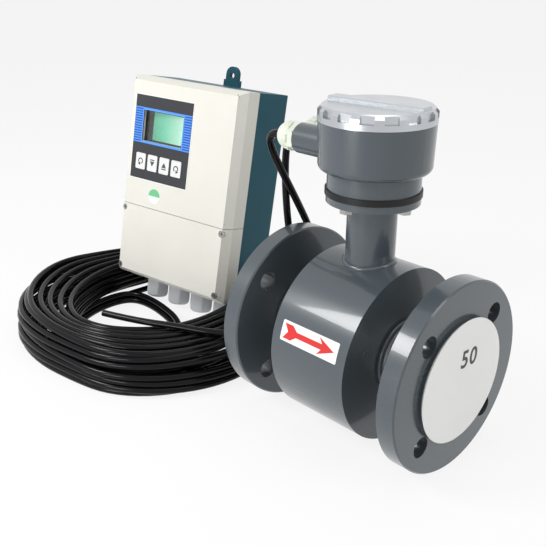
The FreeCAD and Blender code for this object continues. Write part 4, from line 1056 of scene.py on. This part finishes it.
@dataclass(frozen=True)
class Converter:
    """What dresses the converter's face: band, screen with its painted light, marks on the keys, tag, and a
    painted shade in each screw slot.
    """

    base: Point = (-287.0, -8.7, -38.4)
    heading: float = 11.02
    lean: float = -10.39
    roll: float = 1.77
    face: float = -0.2
    panel: Flat = (-67.2, 16.2)
    panel_levels: Flat = (115.3, 207.9)
    panel_rim: float = 0.9
    window: tuple[float, float, float, float] = (-54.2, 158.0, 4.1, 192.0)
    window_rim: float = 1.2
    band: Flat = (155.5, 194.6)
    band_margin: float = 0.4
    stripes: int = 14
    stripe_first: float = 2.1
    stripe_pitch: float = 2.68
    stripe_width: float = 1.15
    keys: tuple[float, ...] = (-52.9, -35.3, -17.7, -0.1)
    key_level: float = 135.0
    tag_place: Flat = (-28.3, 98.7)
    tag_radius: float = 8.3
    cap_flat: float = 12.1
    cap_pitch: float = 34.7
    cap_depth: float = 48.8
    cap_turn: float = 12.0
    screw_sides: Flat = (-71.5, 71.5)
    screw_levels: tuple[float, ...] = (9.5, 78.5, 89.7, 222.7)
    screw_depth: float = 0.8

    @property
    def place(self) -> Matrix:
        """From drawing axes (across, up, out of the face) to the part's frame, in millimetres."""
        leaned = (Matrix.Translation(self.base) @ rotation(self.heading, "Z") @ rotation(self.lean, "X")
                  @ rotation(self.roll, "Y"))
        return leaned @ Matrix(((1, 0, 0, 0), (0, 0, -1, 0), (0, 1, 0, 0), (0, 0, 0, 1)))

    def plate(self, name: str, outlines: Sequence[Sequence[Flat]], low: float, high: float,
              finish: bpy.types.Material, body: str = "root") -> bpy.types.Object:
        """A thin piece of one or more flat shapes on the face.

        Args:
            name: the piece's name.
            outlines: the shapes, each by its corners.
            low: how far their backs stand out of the cover's face.
            high: how far their fronts stand out.
            finish: their material.
            body: the body that they ride on.

        Returns:
            The piece.
        """
        bm = bmesh.new()
        for outline in outlines:
            slab(bm, outline, low, high)
        return piece(name, to_mesh(bm, name, self.place), finish, body)

    def film(self, palette: Palette, row: bpy.types.GeometryNodeTree) -> None:
        """The blue band, its dark stripes each side of the window, and the panel's and window's edges."""
        left, right = self.panel[0] + self.band_margin, self.panel[1] - self.band_margin
        low, high = self.band
        rim, proud = self.window_rim, -self.face
        x1, z1, x2, z2 = (near + way * rim for near, way in zip(self.window, (-1, -1, 1, 1)))
        sides = [box_corners(left, low, x1, high), box_corners(x2, low, right, high),
                 box_corners(x1, low, x2, z1), box_corners(x1, z2, x2, high)]
        self.plate("band_film", sides, proud - 0.01, proud + 0.10, palette[Surface.BAND])
        edge = border(*self.window, rim)
        self.plate("window_edge", edge, proud - 0.01, proud + 0.16, palette[Surface.BEZEL])
        (start, end), (foot, top) = self.panel, self.panel_levels
        edge = border(start, foot, end, top, self.panel_rim)
        self.plate("panel_edge", edge, 0.0, 0.24, palette[Surface.LABEL])
        stripe = palette[Surface.STRIPE]
        for name, start, end in (("stripes_left", left, x1), ("stripes_right", x2, right)):
            first = ((start + end) / 2, low + self.stripe_first, proud + 0.1)
            mesh = grown(row, name, self.place, Count=self.stripes, Start=first, Step=(0, self.stripe_pitch, 0),
                         Bar=(end - start, self.stripe_width, 0.08), Material=stripe)
            piece(name, mesh, stripe)

    def screen(self, palette: Palette) -> None:
        """The pane behind the window, which carries the display's painted shade and painted light."""
        x1, z1, x2, z2 = self.window
        pane = box_corners(x1 + 8.5, z1 + 1.5, x2 - 1.5, z2 - 1.5)
        self.plate("screen_pane", [pane], -8.95, -8.7, palette.screen)

    def marks(self, palette: Palette) -> None:
        """The printed sign on each key."""
        bodies = ("key_menu_body", "key_down_body", "key_up_body", "key_enter_body")
        shapes = (self.loop_mark(1), self.triangle_mark(-1), self.triangle_mark(1), self.loop_mark(-1))
        for body, shape, x in zip(bodies, shapes, self.keys):
            moved = [[(x + u, self.key_level + v) for u, v in outline] for outline in shape]
            self.plate(body.replace("_body", "_mark"), moved, 0.59, 0.68, palette[Surface.MARK], body)

    def triangle_mark(self, way: int) -> list[list[Flat]]:
        """A solid triangle with a bar at its foot, pointing up or down."""
        triangle = [(-3.4, -2.0 * way), (3.4, -2.0 * way), (0, 3.6 * way)]
        bar = [(-3.4, -4.2 * way), (3.4, -4.2 * way), (3.4, -3.0 * way), (-3.4, -3.0 * way)]
        return [triangle[::way], bar[::way]]

    def loop_mark(self, way: int) -> list[list[Flat]]:
        """A looped arrow."""
        inner, outer, segments = 2.3, 3.6, []
        for k in range(15):
            a, b = math.radians(-60 + 18 * k), math.radians(-60 + 18 * (k + 1))
            quad = [(inner * math.cos(a), inner * math.sin(a)), (outer * math.cos(a), outer * math.sin(a)),
                    (outer * math.cos(b), outer * math.sin(b)), (inner * math.cos(b), inner * math.sin(b))]
            segments.append([(way * u, v) for u, v in quad][::way])
        head = [(way * u, v) for u, v in ((-0.2, -4.9), (-0.2, -0.9), (-4.0, -3.2))][::way]
        return segments + [head]

    def tag(self, palette: Palette) -> None:
        """A small round check tag, green above and white below."""
        points = circle(self.tag_radius, 64, *self.tag_place)
        self.plate("tag_lower", [points[32:] + points[:1]], 0.0, 0.14, palette[Surface.LABEL])
        self.plate("tag_upper", [points[:33]], 0.0, 0.15, palette[Surface.TAG_GREEN])

    def caps(self, palette: Palette) -> None:
        """The four white caps under the case: six flats that run down into a rounded foot."""
        count = 48
        rings = ((-9.0, 1.0, 0.0), (-10.0, 1.03, 0.0), (-26.0, 1.03, 0.0), (-28.6, 1.01, 0.35),
                 (-30.4, 0.95, 0.7), (-31.5, 0.86, 1.0), (-31.95, 0.72, 1.0), (-32.0, 0.4, 1.0))
        for k in range(4):
            bm = bmesh.new()
            hoops = []
            for level, size, roundness in rings:
                hoop = []
                for j in range(count):
                    angle = 360.0 * j / count
                    off = (angle + self.cap_turn) % 60.0 - 30.0
                    corner = min(1.13, 1.0 / math.cos(math.radians(off)))
                    reach = self.cap_flat * size * (corner + (1.05 - corner) * roundness)
                    across, out = math.cos(math.radians(angle)), math.sin(math.radians(angle))
                    hoop.append(bm.verts.new((reach * across, level, reach * out)))
                hoops.append(hoop)
            for high, low in zip(hoops, hoops[1:]):
                for j in range(count):
                    bm.faces.new((high[j], high[(j + 1) % count], low[(j + 1) % count], low[j]))
            bm.faces.new(hoops[0])
            bm.faces.new(hoops[-1][::-1])
            place = self.place @ Matrix.Translation(((k - 1.5) * self.cap_pitch, 0, -self.cap_depth))
            mesh = to_mesh(bm, f"port_cap_{k + 1}", place)
            cap = piece(f"port_cap_{k + 1}", mesh, palette[Surface.WHITE_PLASTIC])
            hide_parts(f"gland_cap_{k + 1}")

    def crosses(self, palette: Palette, copies: bpy.types.GeometryNodeTree) -> None:
        """The crossed slot in each of the cover screws, drawn as a thin near-black cross of painted shade."""
        bm = bmesh.new()
        slab(bm, [(-2.2, -0.4), (-0.4, -0.4), (-0.4, -2.2), (0.4, -2.2), (0.4, -0.4), (2.2, -0.4), (2.2, 0.4),
                  (0.4, 0.4), (0.4, 2.2), (-0.4, 2.2), (-0.4, 0.4), (-2.2, 0.4)], 0.0, 0.06)
        mesh = bpy.data.meshes.new("cross")
        bm.to_mesh(mesh)
        bm.free()
        shape = show(bpy.data.objects.new("cross_shape", mesh))
        base = bpy.data.meshes.new("screw_places")
        places = [(x, z, -self.screw_depth) for x in self.screw_sides for z in self.screw_levels]
        base.from_pydata(places, [], [])
        # painted shade: a dark cross stands for the shade inside each screw's slot
        dark = palette[Surface.PAINTED_RECESS_SHADE]
        slots = grown(copies, "screw_slots", self.place, base, Shape=shape, Material=dark)
        bpy.data.objects.remove(shape)
        piece("screw_slots", slots, dark)

    def build(self, palette: Palette, trees: dict[str, bpy.types.GeometryNodeTree]) -> None:
        """Makes every piece of the converter's dress."""
        self.film(palette, trees["row"])
        self.screen(palette)
        self.marks(palette)
        self.tag(palette)
        self.caps(palette)
        self.crosses(palette, trees["copies"])


def corners(box: tuple[Vector, Vector]) -> list[list[float]]:
    """A box's two corners as plain lists."""
    return [[float(number) for number in corner] for corner in box]


def main() -> None:
    """Builds the dressed flow meter."""
    logging.basicConfig(level=logging.INFO, format="%(message)s")
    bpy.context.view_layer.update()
    palette = Palette()
    Viewpoint().build()
    Studio().build()
    Cables(Coil(), palette).build()
    palette.dress_solids()
    trees = {"copies": copies_tree(), "row": row_tree(), "ring": ring_tree(), "bead": bead_tree()}
    Sensor().build(palette, trees)
    Converter().build(palette, trees)


if __name__ == "__main__":
    main()
